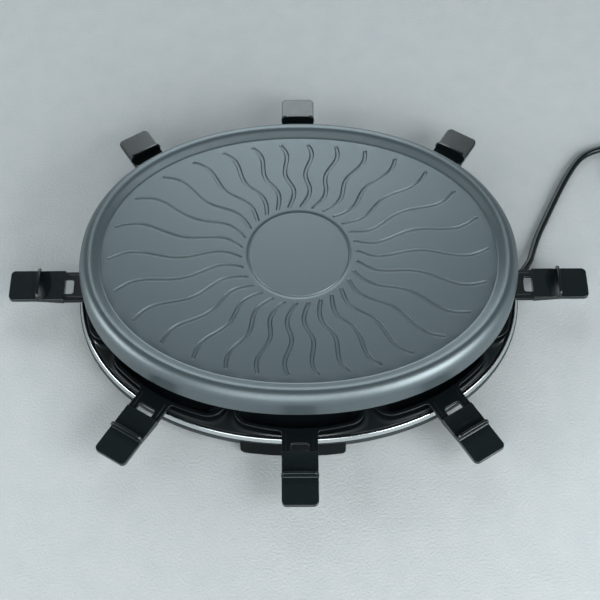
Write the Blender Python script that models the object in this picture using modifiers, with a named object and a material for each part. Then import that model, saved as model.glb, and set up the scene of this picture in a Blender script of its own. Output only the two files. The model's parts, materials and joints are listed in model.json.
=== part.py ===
"""Oval party grill with a cast grill plate above eight small pans.

The part stands on the plane z = 0 with its middle over the origin. The long axis of the
oval is X, and +Z is up. All lengths are in metres.
"""

import math

import bmesh
import bpy
from mathutils import Matrix, Vector

# General
CLEARANCE = 0.0003          # running gap between touching pieces
OVERRUN = 0.002             # how far a cutting shape passes the faces that it cuts
WELD_DISTANCE = 0.00001
OVAL_POWER = 2.1            # superellipse power of every oval
OVAL_STEPS = 64             # points round each oval

# Base: shell, lip, trim and tray
BASE_HALF_LENGTH = 0.2177
BASE_HALF_WIDTH = 0.1683
FOOT_HEIGHT = 0.0082
SHELL_SHEET = 0.0016
LIP_HEIGHT = 0.0077
LIP_WALL = 0.0022
LEDGE_RISE = 0.0018
LEDGE_WIDTH = 0.0020
LEDGE_SHEET = 0.0016
TRIM_SLOPE = 0.0034         # how far the trim leans inward
TRIM_SHEET = 0.0009
TRIM_SETBACK = 0.0008
TRIM_FLANGE = 0.0020
TRAY_SHEET = 0.0012
TRAY_EDGE_INSET = 0.0058
WELL_DEPTH = 0.0036
WELL_TOP_INSET = 0.0020     # edge of the well, inside the outline of the pan's rim
WELL_FLOOR_GAP = 0.0020     # play around the flat bottom of a pan

# Grill plate
PLATE_HALF_LENGTH = 0.2100
PLATE_HALF_WIDTH = 0.1606
PLATE_SKIRT_LEVEL = 0.0614  # lower edge of the skirt above the table
PLATE_HEIGHT = 0.0286
PLATE_WALL = 0.0042
PLATE_THICKNESS = 0.0050
RIM_WIDTH = 0.0205
RIM_RISE = 0.0053           # crest of the rim above the cooking surface
SHOULDER_HEIGHT = 0.0100
SHOULDER_WIDTH = 0.0090
RING_RADIUS = 0.0474
RING_WIDTH = 0.0022
RING_STEPS = 36
CHANNEL_COUNT = 30
CHANNEL_WIDTH = 0.0038
CHANNEL_DEPTH = 0.0014
CHANNEL_POINTS = 8
CHANNEL_INNER_RADIUS = 0.0560
CHANNEL_INNER_TURN = math.radians(3.2)
CHANNEL_OUTER_TURN = math.radians(1.4)
CHANNEL_OUTER_INSET = 0.0295
CHANNEL_FIRST_DIP = 0.0195
CHANNEL_FIRST_DEPTH = 0.0068
CHANNEL_CREST_SHARE = 0.37
CHANNEL_SECOND_DIP_SHARE = 0.79
CHANNEL_SECOND_DEPTH_SHARE = 0.06
PLATE_BOSS_RADIUS = 0.0070

# Pans and their grips
PAN_OVERHANG = 0.0675       # tip of a grip beyond the lip of the base
CORNER_PAN_OVERHANG = 0.0652
CORNER_PAN_TURN = math.radians(1.0)     # away from the square stance between its neighbours
CORNER_PAN_SHIFT = 0.0076   # its axis passes this far to the front or back pan's side
PAN_SHEET = 0.0012
PAN_DEPTH = 0.0135
PAN_LENGTH = 0.0900
PAN_INNER_HALF_WIDTH = 0.0260
PAN_GAP = 0.0021            # between the unrounded outer corners of two neighbours
PAN_NOSE_DROP = 0.0140      # corners of the outer edge behind its middle
PAN_NOSE_BULGE = 0.0041
PAN_NOSE_SHARE = 0.58       # share of the outer edge that is bowed
PAN_INNER_CORNER = 0.0200
PAN_OUTER_CORNER = 0.0180
PAN_CORNER_STEPS = (2, 2, 3, 2, 3)
PAN_FLANGE = 0.0025
PAN_BOTTOM_INSET = 0.0170
STEM_LENGTH = 0.0205
STEM_WIDTH = 0.0336
STEM_FILLET = 0.0040
STEM_FOLD = 0.0030
WINDOW_LENGTH = 0.0084
WINDOW_WIDTH = 0.0166
WINDOW_CORNER = 0.0026
TANG_LENGTH = 0.0140
TANG_WIDTH = 0.0280
GRIP_LENGTH = 0.0542
GRIP_WIDTH = 0.0338
GRIP_RISE = 0.0024          # top of the grip above the rim of the pan
GRIP_ROOT_THICKNESS = 0.0080
GRIP_TIP_THICKNESS = 0.0045
GRIP_CORNER = 0.0040
STOP_FROM_TIP = 0.0275
STOP_THICKNESS = 0.0028
STOP_HEIGHT = 0.0090
STOP_SHOULDER = 0.0038
STOP_OVERHANG = 0.0005
SCOOP_LENGTH = 0.0115
SCOOP_DEPTH = 0.0022

# Heating element, its clips and the plate's posts
POST_RADIUS = 0.0030
POST_FLANGE_RADIUS = 0.0060
POST_FLANGE_HEIGHT = 0.0016
BOSS_LENGTH = 0.0080
SPIGOT_RADIUS = 0.0019
SPIGOT_LENGTH = 0.0050
ELEMENT_RADIUS = 0.0034
ELEMENT_LEVEL = 0.0500
ELEMENT_TO_BASE = 0.0650
ELEMENT_END_SPACING = 0.0200
ELEMENT_END_REACH = 0.0250  # where the cold ends turn down, from the middle
ELEMENT_BEND = 0.0090
CLIP_THICKNESS = 0.0014
CLIP_WIDTH = 0.0110

# Terminal housing in the middle
HOUSING_HALF_LENGTH = 0.0460
HOUSING_HALF_WIDTH = 0.0250
HOUSING_HEIGHT = 0.0215
HOUSING_WALL = 0.0012
HOUSING_CORNER = 0.0100
HOUSING_FLANGE = 0.0080
BLOCK_LENGTH = 0.0300
BLOCK_WIDTH = 0.0340
BLOCK_HEIGHT = 0.0080
CUTOUT_RADIUS = 0.0060
CUTOUT_HEIGHT = 0.0050
WIRE_RADIUS = 0.0011
WIRE_SPACING = 0.0046
WIRE_HOLE_RADIUS = 0.0080
SCREW_HEAD_RADIUS = 0.0031
SCREW_HEAD_HEIGHT = 0.0020
SCREW_RADIUS = 0.0016

# Feet
FRONT_FOOT_HALF_LENGTH = 0.0495
FRONT_FOOT_SHIFT = 0.0065
FRONT_FOOT_PROUD = 0.0045
SIDE_FOOT_HALF_LENGTH = 0.0350
FOOT_DEPTH = 0.0300
FOOT_BOTTOM = 0.0010
FOOT_CORNER = 0.0060
SIDE_FOOT_SETBACK = 0.0080
PAD_LENGTH = 0.0560
PAD_WIDTH = 0.0090
PAD_THICKNESS = 0.0024
PAD_INSET = 0.0090
FOOT_SCREW_INSET = 0.0230

# Power cord, from its outlet to the plug
CORD_RADIUS = 0.0035
OUTLET_REACH = 0.0035       # mouth of the outlet beyond the shell's end
OUTLET_OFFSET = 0.0165
OUTLET_BEARING = math.radians(60.0)
OUTLET_LENGTH = 0.0210
OUTLET_WIDTH = 0.0100
BOOT_LENGTH = 0.0210
BOOT_ROOT_RADIUS = 0.0046
BOOT_TIP_RADIUS = 0.0039
BOOT_DIP = math.radians(7.0)
CORD_ROUTE = (
    (0.2403, 0.0555, 0.0052), (0.2474, 0.0747, 0.0036), (0.2590, 0.0990, 0.0036),
    (0.2707, 0.1228, 0.0036), (0.2812, 0.1430, 0.0036), (0.2909, 0.1597, 0.0036),
    (0.3000, 0.1724, 0.0036), (0.3104, 0.1816, 0.0036), (0.3259, 0.1881, 0.0037),
    (0.3480, 0.1915, 0.0042), (0.3700, 0.1921, 0.0047),
)
CORD_POINT_STEP = 0.0150
COIL_CENTRE = (0.3812, 0.1461)
COIL_OUTER_RADIUS = 0.0460
COIL_PITCH = 0.0078         # from one turn to the next beside it
COIL_LAYER_RISE = 0.0076
COIL_LOWER_TURNS = 2.5
COIL_CLIMB_TURNS = 0.5
COIL_UPPER_TURNS = 2.25
COIL_POINTS_PER_TURN = 24
TAIL_LENGTH = 0.0520
TIE_SHEET = 0.0008
TIE_WIDTH = 0.0050
PLUG_RADIUS = 0.0185
PLUG_NECK_RADIUS = 0.0062
PLUG_LENGTH = 0.0340
PLUG_NECK_LENGTH = 0.0200
PLUG_STEPS = 16
PIN_RADIUS = 0.0024
PIN_LENGTH = 0.0190
PIN_SPACING = 0.0190

# Levels above the table that follow from the sizes above
LIP_TOP = FOOT_HEIGHT + LIP_HEIGHT
LEDGE_TOP = LIP_TOP + LEDGE_RISE
SHELL_FLOOR = FOOT_HEIGHT + SHELL_SHEET
TRAY_UNDERSIDE = LEDGE_TOP + CLEARANCE
TRAY_TOP = TRAY_UNDERSIDE + TRAY_SHEET
TRIM_TOP = TRAY_TOP + CLEARANCE + TRIM_SHEET
WELL_FLOOR = TRAY_TOP - WELL_DEPTH
PAN_BOTTOM = WELL_FLOOR + CLEARANCE
PAN_RIM = PAN_BOTTOM + PAN_DEPTH
PLATE_CREST = PLATE_SKIRT_LEVEL + PLATE_HEIGHT
PLATE_FLOOR = PLATE_CREST - RIM_RISE
PLATE_UNDERSIDE = PLATE_FLOOR - PLATE_THICKNESS
HOUSING_FOOT = TRAY_TOP + CLEARANCE
HOUSING_TOP = HOUSING_FOOT + HOUSING_HEIGHT
ELEMENT_HALF_LENGTH = BASE_HALF_LENGTH - ELEMENT_TO_BASE
ELEMENT_HALF_WIDTH = BASE_HALF_WIDTH - ELEMENT_TO_BASE
COIL_LEVEL = CORD_RADIUS + TIE_SHEET + 3 * CLEARANCE
OUTLET_PLACE = (BASE_HALF_LENGTH + OUTLET_REACH, OUTLET_OFFSET)
SIDE_PAN_NOSE = BASE_HALF_LENGTH + PAN_OVERHANG - GRIP_LENGTH - STEM_LENGTH
FRONT_PAN_NOSE = BASE_HALF_WIDTH + PAN_OVERHANG - GRIP_LENGTH - STEM_LENGTH


def start_scene():
    """Empty the scene and make one collection for the parts."""
    for item in list(bpy.data.objects):
        bpy.data.objects.remove(item, do_unlink=True)
    collection = bpy.data.collections.new("raclette_grill")
    bpy.context.scene.collection.children.link(collection)
    return collection


PARTS = start_scene()


def material(name, colour, roughness, metallic):
    """A plain Principled material."""
    found = bpy.data.materials.get(name)
    if found:
        return found
    made = bpy.data.materials.new(name)
    made.use_nodes = True
    shader = made.node_tree.nodes["Principled BSDF"]
    shader.inputs["Base Color"].default_value = (*colour, 1.0)
    shader.inputs["Roughness"].default_value = roughness
    shader.inputs["Metallic"].default_value = metallic
    return made


CAST_COATING = material("cast_coating", (0.13, 0.17, 0.185), 0.45, 0.3)
BLACK_ENAMEL = material("black_enamel", (0.012, 0.016, 0.018), 0.18, 0.0)
BRIGHT_STEEL = material("bright_steel", (0.62, 0.66, 0.68), 0.22, 1.0)
BLACK_PLASTIC = material("black_plastic", (0.020, 0.026, 0.029), 0.38, 0.0)
GREY_PLASTIC = material("grey_plastic", (0.035, 0.050, 0.056), 0.45, 0.0)
PAN_COATING = material("pan_coating", (0.014, 0.018, 0.020), 0.30, 0.2)
ELEMENT_STEEL = material("element_steel", (0.16, 0.15, 0.14), 0.45, 0.9)
ZINC_STEEL = material("zinc_steel", (0.50, 0.51, 0.52), 0.40, 1.0)
CERAMIC = material("ceramic", (0.80, 0.78, 0.72), 0.60, 0.0)
RUBBER = material("rubber", (0.015, 0.015, 0.016), 0.80, 0.0)
CORD_RUBBER = material("cord_rubber", (0.010, 0.013, 0.015), 0.32, 0.0)
WIRE_BROWN = material("wire_brown", (0.16, 0.06, 0.02), 0.50, 0.0)
WIRE_BLUE = material("wire_blue", (0.02, 0.08, 0.35), 0.50, 0.0)
WIRE_GREEN = material("wire_green", (0.10, 0.35, 0.05), 0.50, 0.0)
PIN_METAL = material("pin_metal", (0.75, 0.72, 0.66), 0.28, 1.0)


def add_part(name, mesh, surface):
    """A named object that holds the mesh, in the parts' collection."""
    item = bpy.data.objects.new(name, mesh)
    if not mesh.materials:
        mesh.materials.append(surface)
    PARTS.objects.link(item)
    return item


def smooth(item, angle=math.radians(35.0)):
    """Shade round faces smooth and keep the sharp edges."""
    item.data.shade_smooth()
    item.data.set_sharp_from_angle(angle=angle)
    return item


def loft(name, rings, surface, closed=False):
    """A solid through rings of points; the ends are capped unless it closes on itself."""
    form = bmesh.new()
    rows = [[form.verts.new(point) for point in ring] for ring in rings]
    pairs = list(zip(rows, rows[1:]))
    if closed:
        pairs.append((rows[-1], rows[0]))
    for lower, upper in pairs:
        count = len(lower)
        for index in range(count):
            after = (index + 1) % count
            form.faces.new((lower[index], lower[after], upper[after], upper[index]))
    if not closed:
        form.faces.new(rows[0])
        form.faces.new(rows[-1])
    bmesh.ops.recalc_face_normals(form, faces=form.faces)
    mesh = bpy.data.meshes.new(name)
    form.to_mesh(mesh)
    form.free()
    return add_part(name, mesh, surface)


def settle(item):
    """Turn an object with modifiers or a curve into a plain welded mesh object."""
    graph = bpy.context.evaluated_depsgraph_get()
    graph.update()
    mesh = bpy.data.meshes.new_from_object(item.evaluated_get(graph))
    form = bmesh.new()
    form.from_mesh(mesh)
    bmesh.ops.remove_doubles(form, verts=form.verts, dist=WELD_DISTANCE)
    bmesh.ops.recalc_face_normals(form, faces=form.faces)
    form.to_mesh(mesh)
    form.free()
    name = item.name
    place = item.matrix_world.copy()
    mesh.transform(place)
    surface = item.data.materials[0]
    bpy.data.objects.remove(item, do_unlink=True)
    mesh.materials.clear()
    return add_part(name, mesh, surface)


def combine(target, others, operation):
    """Apply one Boolean after another to the target and remove the other shapes."""
    for other in others:
        step = target.modifiers.new(operation.lower(), "BOOLEAN")
        step.operation = operation
        step.solver = "EXACT"
        step.object = other
        graph = bpy.context.evaluated_depsgraph_get()
        graph.update()
        mesh = bpy.data.meshes.new_from_object(target.evaluated_get(graph))
        target.modifiers.clear()
        target.data = mesh
        bpy.data.objects.remove(other, do_unlink=True)
    return target


def cut(target, *others):
    return combine(target, others, "DIFFERENCE")


def join(target, *others):
    return combine(target, others, "UNION")


def prism(name, outlines, bottom, top, surface):
    """Flat outlines, filled and extruded from the bottom level to the top level."""
    curve = bpy.data.curves.new(name, "CURVE")
    curve.dimensions = "2D"
    curve.fill_mode = "BOTH"
    curve.extrude = (top - bottom) / 2
    for outline in outlines:
        spline = curve.splines.new("POLY")
        spline.points.add(len(outline) - 1)
        for point, (x, y) in zip(spline.points, outline):
            point.co = (x, y, 0.0, 1.0)
        spline.use_cyclic_u = True
    curve.materials.append(surface)
    item = bpy.data.objects.new(name, curve)
    PARTS.objects.link(item)
    item.location.z = (top + bottom) / 2
    bpy.context.view_layer.update()
    return settle(item)


def box(name, low, high, surface):
    """A box between two corners."""
    form = bmesh.new()
    bmesh.ops.create_cube(form, size=1.0)
    size = [b - a for a, b in zip(low, high)]
    middle = [(a + b) / 2 for a, b in zip(low, high)]
    bmesh.ops.scale(form, vec=size, verts=form.verts)
    bmesh.ops.translate(form, vec=middle, verts=form.verts)
    mesh = bpy.data.meshes.new(name)
    form.to_mesh(mesh)
    form.free()
    return add_part(name, mesh, surface)


def cylinder(name, place, radius, bottom, top, surface, steps=16):
    """An upright cylinder at (x, y)."""
    form = bmesh.new()
    bmesh.ops.create_cone(
        form, cap_ends=True, segments=steps, radius1=radius, radius2=radius, depth=top - bottom)
    bmesh.ops.translate(form, vec=(place[0], place[1], (bottom + top) / 2), verts=form.verts)
    mesh = bpy.data.meshes.new(name)
    form.to_mesh(mesh)
    form.free()
    return add_part(name, mesh, surface)


def turned(name, profile, surface, steps=16):
    """A profile of (radius, height), listed from top to bottom, turned about Z."""
    mesh = bpy.data.meshes.new(name)
    points = [(radius, 0.0, height) for radius, height in profile]
    edges = [(index, index + 1) for index in range(len(profile) - 1)]
    mesh.from_pydata(points, edges, [])
    item = add_part(name, mesh, surface)
    turn = item.modifiers.new("turn", "SCREW")
    turn.axis = "Z"
    turn.steps = steps
    turn.render_steps = steps
    turn.use_merge_vertices = True
    turn.merge_threshold = WELD_DISTANCE
    return smooth(settle(item))


def tube(name, points, radius, surface, resolution=2):
    """A round tube with capped ends along a list of points."""
    curve = bpy.data.curves.new(name, "CURVE")
    curve.dimensions = "3D"
    curve.bevel_depth = radius
    curve.bevel_resolution = resolution
    curve.use_fill_caps = True
    spline = curve.splines.new("POLY")
    spline.points.add(len(points) - 1)
    for point, place in zip(spline.points, points):
        point.co = (*place, 1.0)
    curve.materials.append(surface)
    item = bpy.data.objects.new(name, curve)
    PARTS.objects.link(item)
    return item


def smooth_route(points, step):
    """Points about a step apart on a smooth curve through the given points."""
    route = [Vector(point) for point in points]
    ends = [2 * route[0] - route[1]] + route + [2 * route[-1] - route[-2]]
    found = []
    for index in range(1, len(ends) - 2):
        before, start, end, after = ends[index - 1:index + 3]
        pieces = max(1, round((end - start).length / step))
        for piece in range(pieces):
            t = piece / pieces
            place = 0.5 * (
                2 * start + (end - before) * t
                + (2 * before - 5 * start + 4 * end - after) * t ** 2
                + (3 * start - before - 3 * end + after) * t ** 3)
            found.append(place)
    found.append(route[-1])
    return found


def oval_radius_shares(angle):
    """Shares of the two half axes at one parameter of the superellipse."""
    cosine = math.cos(angle)
    sine = math.sin(angle)
    power = 2.0 / OVAL_POWER
    return (math.copysign(abs(cosine) ** power, cosine), math.copysign(abs(sine) ** power, sine))


def oval(half_length, half_width, level, steps=OVAL_STEPS):
    """A ring of points on a superellipse at one level."""
    ring = []
    for index in range(steps):
        along, across = oval_radius_shares(math.tau * index / steps)
        ring.append((half_length * along, half_width * across, level))
    return ring


def oval_reach(half_length, half_width, start, direction):
    """How far along a direction, from a point inside, the superellipse lies."""
    low = 0.0
    high = half_length + half_width
    for _ in range(48):
        middle = (low + high) / 2
        x = abs(start[0] + direction[0] * middle) / half_length
        y = abs(start[1] + direction[1] * middle) / half_width
        if x ** OVAL_POWER + y ** OVAL_POWER < 1.0:
            low = middle
        else:
            high = middle
    return low


def rounded_outline(corners, radii, steps=3):
    """Points and outward normals along a convex outline with a fillet at each corner."""
    found = []
    count = len(corners)
    counts = steps if isinstance(steps, tuple) else (steps,) * count
    for index in range(count):
        corner = Vector(corners[index])
        before = (Vector(corners[index - 1]) - corner).normalized()
        after = (Vector(corners[(index + 1) % count]) - corner).normalized()
        bisector = (before + after).normalized()
        half_angle = math.acos(max(-1.0, min(1.0, before.dot(after)))) / 2
        centre = corner + bisector * (radii[index] / math.sin(half_angle))
        start = before * (radii[index] / math.tan(half_angle)) + corner - centre
        sweep = math.pi - 2 * half_angle
        turn = 1.0 if before.cross(after) < 0 else -1.0
        for step in range(counts[index] + 1):
            spoke = start.copy()
            spoke.rotate(Matrix.Rotation(turn * sweep * step / counts[index], 2))
            found.append((centre + spoke, spoke.normalized()))
    return found


def rectangle(half_length, half_width, corner, level, steps=3):
    """A ring of points round a rectangle with rounded corners."""
    corners = ((half_length, half_width), (-half_length, half_width),
               (-half_length, -half_width), (half_length, -half_width))
    return [(p.x, p.y, level) for p, _ in rounded_outline(corners, [corner] * 4, steps)]


def shifted(ring, x=0.0, y=0.0):
    return [(px + x, py + y, pz) for px, py, pz in ring]


def pan_half_width():
    """Half width of a pan's outer edge, so that the corners of all eight just miss."""
    side = SIDE_PAN_NOSE - PAN_NOSE_DROP
    front = FRONT_PAN_NOSE - PAN_NOSE_DROP
    reach = side + front + 2 * PAN_GAP
    square = side ** 2 + front ** 2 - PAN_GAP ** 2
    return (math.sqrt(reach ** 2 + 2 * square) - reach) / 2


PAN_OUTER_HALF_WIDTH = pan_half_width()


def pan_outline():
    """Rim of a pan: X points outward along its axis, and the nose is at the origin."""
    corner = PAN_NOSE_DROP
    nose_height = PAN_NOSE_DROP + PAN_NOSE_BULGE
    edge = math.hypot(nose_height, PAN_OUTER_HALF_WIDTH)
    nose_radius = PAN_NOSE_SHARE * edge * PAN_OUTER_HALF_WIDTH / nose_height
    corners = (
        (-PAN_LENGTH, PAN_INNER_HALF_WIDTH), (-PAN_LENGTH, -PAN_INNER_HALF_WIDTH),
        (-corner, -PAN_OUTER_HALF_WIDTH), (PAN_NOSE_BULGE, 0.0),
        (-corner, PAN_OUTER_HALF_WIDTH))
    radii = (PAN_INNER_CORNER, PAN_INNER_CORNER, PAN_OUTER_CORNER,
             nose_radius, PAN_OUTER_CORNER)
    outline = rounded_outline(corners, radii, PAN_CORNER_STEPS)
    nose = max(point.x for point, _ in outline)
    return [(Vector((point.x - nose, point.y)), normal) for point, normal in outline]


PAN_OUTLINE = pan_outline()


def pan_ring(inset, level):
    """The rim's outline, moved inward and set at a level."""
    return [(p.x - n.x * inset, p.y - n.y * inset, level) for p, n in PAN_OUTLINE]


def pan_places():
    """Name, nose and bearing of each pan, from the front round to the left."""
    side = SIDE_PAN_NOSE
    front = FRONT_PAN_NOSE
    half = PAN_OUTER_HALF_WIDTH
    side_edge = side - PAN_NOSE_DROP
    front_edge = front - PAN_NOSE_DROP
    bearing = math.atan2(side_edge - half, front_edge - half) - CORNER_PAN_TURN
    along = math.cos(bearing)
    across = math.sin(bearing)
    crossing = (side_edge + half) / 2 - (front_edge + half) / 2 * along / across - CORNER_PAN_SHIFT
    lip = oval_reach(BASE_HALF_LENGTH, BASE_HALF_WIDTH, (crossing, 0.0), (along, across))
    reach = lip + CORNER_PAN_OVERHANG - GRIP_LENGTH - STEM_LENGTH
    corner_x = crossing + along * reach
    corner_y = across * reach
    return (
        ("front", (0.0, -front), -math.pi / 2),
        ("front_right", (corner_x, -corner_y), -bearing),
        ("right", (side, 0.0), 0.0),
        ("back_right", (corner_x, corner_y), bearing),
        ("back", (0.0, front), math.pi / 2),
        ("back_left", (-corner_x, corner_y), math.pi - bearing),
        ("left", (-side, 0.0), math.pi),
        ("front_left", (-corner_x, -corner_y), bearing - math.pi),
    )


PAN_PLACES = pan_places()


def placed(ring, nose, bearing):
    """A ring of a pan's own frame in the frame of the whole grill."""
    cosine = math.cos(bearing)
    sine = math.sin(bearing)
    return [(nose[0] + cosine * x - sine * y, nose[1] + sine * x + cosine * y, z)
            for x, y, z in ring]


def post_places():
    """The four posts stand on the saddles between the front or back pan and a corner pan."""
    half_width = (PAN_INNER_HALF_WIDTH + PAN_OUTER_HALF_WIDTH) / 2
    middle = -(PAN_LENGTH + PAN_NOSE_DROP) / 2
    _, nose, bearing = PAN_PLACES[4]
    back = placed([(middle, -half_width, 0.0)], nose, bearing)[0]
    _, nose, bearing = PAN_PLACES[3]
    corner = placed([(middle, half_width, 0.0)], nose, bearing)[0]
    x = (back[0] + corner[0]) / 2
    y = (back[1] + corner[1]) / 2
    return ((x, -y), (x, y), (-x, y), (-x, -y))


POST_PLACES = post_places()


def screw(name, place, head_bottom, shank_length, head_up=True):
    """A pan-head screw; the head's flat side lies at head_bottom."""
    slope = 0.6 * SCREW_HEAD_RADIUS
    profile = [
        (0.0, SCREW_HEAD_HEIGHT), (slope, SCREW_HEAD_HEIGHT), (SCREW_HEAD_RADIUS, SCREW_HEAD_HEIGHT / 2),
        (SCREW_HEAD_RADIUS, 0.0), (SCREW_RADIUS, 0.0), (SCREW_RADIUS, -shank_length),
        (0.0, -shank_length)]
    item = turned(name, profile, ZINC_STEEL, 8)
    flip = Matrix.Identity(4) if head_up else Matrix.Rotation(math.pi, 4, "X")
    item.data.transform(Matrix.Translation((place[0], place[1], head_bottom)) @ flip)
    return item


def channel_line(index):
    """Centre line of one wavy channel in the cooking surface."""
    step = math.tau * index / CHANNEL_COUNT
    inner = step + CHANNEL_INNER_TURN
    outer = step + CHANNEL_OUTER_TURN
    start = CHANNEL_INNER_RADIUS * Vector((math.cos(inner), math.sin(inner)))
    ray = Vector((math.cos(outer), math.sin(outer)))
    reach = oval_reach(PLATE_HALF_LENGTH - CHANNEL_OUTER_INSET,
                       PLATE_HALF_WIDTH - CHANNEL_OUTER_INSET, (0.0, 0.0), ray)
    run = ray * reach - start
    length = run.length
    along = run.normalized()
    clockwise = Vector((along.y, -along.x))
    rest = length - CHANNEL_FIRST_DIP
    crest = CHANNEL_FIRST_DIP + CHANNEL_CREST_SHARE * rest
    second = CHANNEL_FIRST_DIP + CHANNEL_SECOND_DIP_SHARE * rest
    second_depth = CHANNEL_SECOND_DEPTH_SHARE * length

    def dip(distance):
        if distance < CHANNEL_FIRST_DIP:
            return CHANNEL_FIRST_DEPTH * math.sin(math.pi / 2 * distance / CHANNEL_FIRST_DIP)
        if distance < crest:
            t = (distance - CHANNEL_FIRST_DIP) / (crest - CHANNEL_FIRST_DIP)
            return CHANNEL_FIRST_DEPTH * (1 + math.cos(math.pi * t)) / 2
        if distance < second:
            t = (distance - crest) / (second - crest)
            return second_depth * (1 - math.cos(math.pi * t)) / 2
        return second_depth * math.cos(math.pi / 2 * (distance - second) / (length - second))

    points = []
    for step in range(CHANNEL_POINTS):
        distance = length * step / (CHANNEL_POINTS - 1)
        points.append(start + along * distance + clockwise * dip(distance))
    return points


def channel_outline(index):
    """Closed outline of one channel, with blunt pointed ends."""
    line = channel_line(index)
    half = CHANNEL_WIDTH / 2
    left = []
    right = []
    for place, point in enumerate(line):
        before = line[max(place - 1, 0)]
        after = line[min(place + 1, len(line) - 1)]
        along = (after - before).normalized()
        side = Vector((-along.y, along.x)) * half
        left.append(point + side)
        right.append(point - side)
    first = line[0] - (line[1] - line[0]).normalized() * half
    last = line[-1] + (line[-1] - line[-2]).normalized() * half
    return [first] + right + [last] + left[::-1]


def circle(radius, steps):
    return [(radius * math.cos(math.tau * i / steps), radius * math.sin(math.tau * i / steps))
            for i in range(steps)]


def make_grill_plate():
    """Cast plate: a rolled rim round a flat cooking surface with wavy channels."""
    profile = [(RIM_WIDTH, PLATE_FLOOR)]
    for step in (1, 2):
        t = step / 3
        profile.append((RIM_WIDTH - (RIM_WIDTH - SHOULDER_WIDTH) * t,
                        PLATE_FLOOR + RIM_RISE * (1 - math.cos(math.pi * t)) / 2))
    for step in range(4):
        turn = math.pi / 2 * step / 3
        profile.append((SHOULDER_WIDTH * (1 - math.sin(turn)),
                        PLATE_CREST - SHOULDER_HEIGHT * (1 - math.cos(turn))))
    profile.append((0.0, PLATE_SKIRT_LEVEL))
    profile.append((PLATE_WALL, PLATE_SKIRT_LEVEL))
    profile.append((PLATE_WALL, PLATE_UNDERSIDE - PLATE_THICKNESS / 2))
    profile.append((PLATE_WALL + PLATE_THICKNESS, PLATE_UNDERSIDE))
    rings = [oval(PLATE_HALF_LENGTH - inset, PLATE_HALF_WIDTH - inset, level)
             for inset, level in profile]
    plate = loft("grill_plate", rings, CAST_COATING)
    for place in POST_PLACES:
        boss = cylinder("plate_boss", place, PLATE_BOSS_RADIUS, PLATE_UNDERSIDE - BOSS_LENGTH,
                        PLATE_UNDERSIDE + PLATE_THICKNESS / 2, CAST_COATING)
        plate = join(plate, boss)
        bore = cylinder("plate_bore", place, SPIGOT_RADIUS + CLEARANCE,
                        PLATE_UNDERSIDE - BOSS_LENGTH - OVERRUN,
                        PLATE_UNDERSIDE - BOSS_LENGTH + SPIGOT_LENGTH + CLEARANCE, CAST_COATING, 12)
        plate = cut(plate, bore)
    outlines = [channel_outline(index) for index in range(CHANNEL_COUNT)]
    channels = prism("channels", outlines, PLATE_FLOOR - CHANNEL_DEPTH, PLATE_FLOOR + OVERRUN,
                     CAST_COATING)
    ring = prism("ring_groove", [circle(RING_RADIUS + RING_WIDTH / 2, RING_STEPS),
                                 circle(RING_RADIUS - RING_WIDTH / 2, RING_STEPS)],
                 PLATE_FLOOR - CHANNEL_DEPTH / 2, PLATE_FLOOR + OVERRUN, CAST_COATING)
    return smooth(cut(plate, channels, ring))


def make_trim_band():
    """Bright sheet trim that leans inward and folds over the edge of the tray."""
    outer = TRIM_SETBACK
    inner = TRIM_SETBACK + TRIM_SLOPE
    bottom = LIP_TOP + CLEARANCE
    profile = [
        (outer, bottom), (inner, TRIM_TOP), (inner + TRIM_FLANGE, TRIM_TOP),
        (inner + TRIM_FLANGE, TRIM_TOP - TRIM_SHEET), (inner + TRIM_SHEET, TRIM_TOP - TRIM_SHEET),
        (outer + TRIM_SHEET, bottom)]
    rings = [oval(BASE_HALF_LENGTH - inset, BASE_HALF_WIDTH - inset, level)
             for inset, level in profile]
    return smooth(loft("trim_band", rings, BRIGHT_STEEL, closed=True))


def make_tray():
    """Pressed steel tray with one shallow well for each pan."""
    edge = [oval(BASE_HALF_LENGTH - TRAY_EDGE_INSET, BASE_HALF_WIDTH - TRAY_EDGE_INSET, level)
            for level in (TRAY_TOP, TRAY_UNDERSIDE)]
    tray = loft("pan_tray", edge, BLACK_ENAMEL)
    floor_inset = PAN_BOTTOM_INSET - WELL_FLOOR_GAP
    slope = (floor_inset - WELL_TOP_INSET) / WELL_DEPTH
    rise = (TRAY_TOP + TRAY_UNDERSIDE) / 2 - WELL_FLOOR + TRAY_SHEET
    for _, nose, bearing in PAN_PLACES:
        outer = [placed(pan_ring(floor_inset, WELL_FLOOR - TRAY_SHEET), nose, bearing),
                 placed(pan_ring(floor_inset - slope * rise, WELL_FLOOR - TRAY_SHEET + rise),
                        nose, bearing)]
        tray = join(tray, loft("well_outer", outer, BLACK_ENAMEL))
    for _, nose, bearing in PAN_PLACES:
        inner = [placed(pan_ring(floor_inset, WELL_FLOOR), nose, bearing),
                 placed(pan_ring(WELL_TOP_INSET - slope * OVERRUN, TRAY_TOP + OVERRUN),
                        nose, bearing)]
        tray = cut(tray, loft("well_inner", inner, BLACK_ENAMEL))
    holes = [cylinder("wire_hole", (-HOUSING_HALF_LENGTH / 2 - WIRE_HOLE_RADIUS, 0.0),
                      WIRE_HOLE_RADIUS, TRAY_UNDERSIDE - OVERRUN, TRAY_TOP + OVERRUN,
                      BLACK_ENAMEL)]
    for x, y in housing_screw_places():
        holes.append(cylinder("screw_hole", (x, y), SCREW_RADIUS + CLEARANCE,
                              TRAY_UNDERSIDE - OVERRUN, TRAY_TOP + OVERRUN, BLACK_ENAMEL, 12))
    return smooth(cut(tray, *holes))


def housing_screw_places():
    reach = HOUSING_HALF_LENGTH + HOUSING_FLANGE / 2
    return ((-reach, 0.0), (reach, 0.0))


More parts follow.
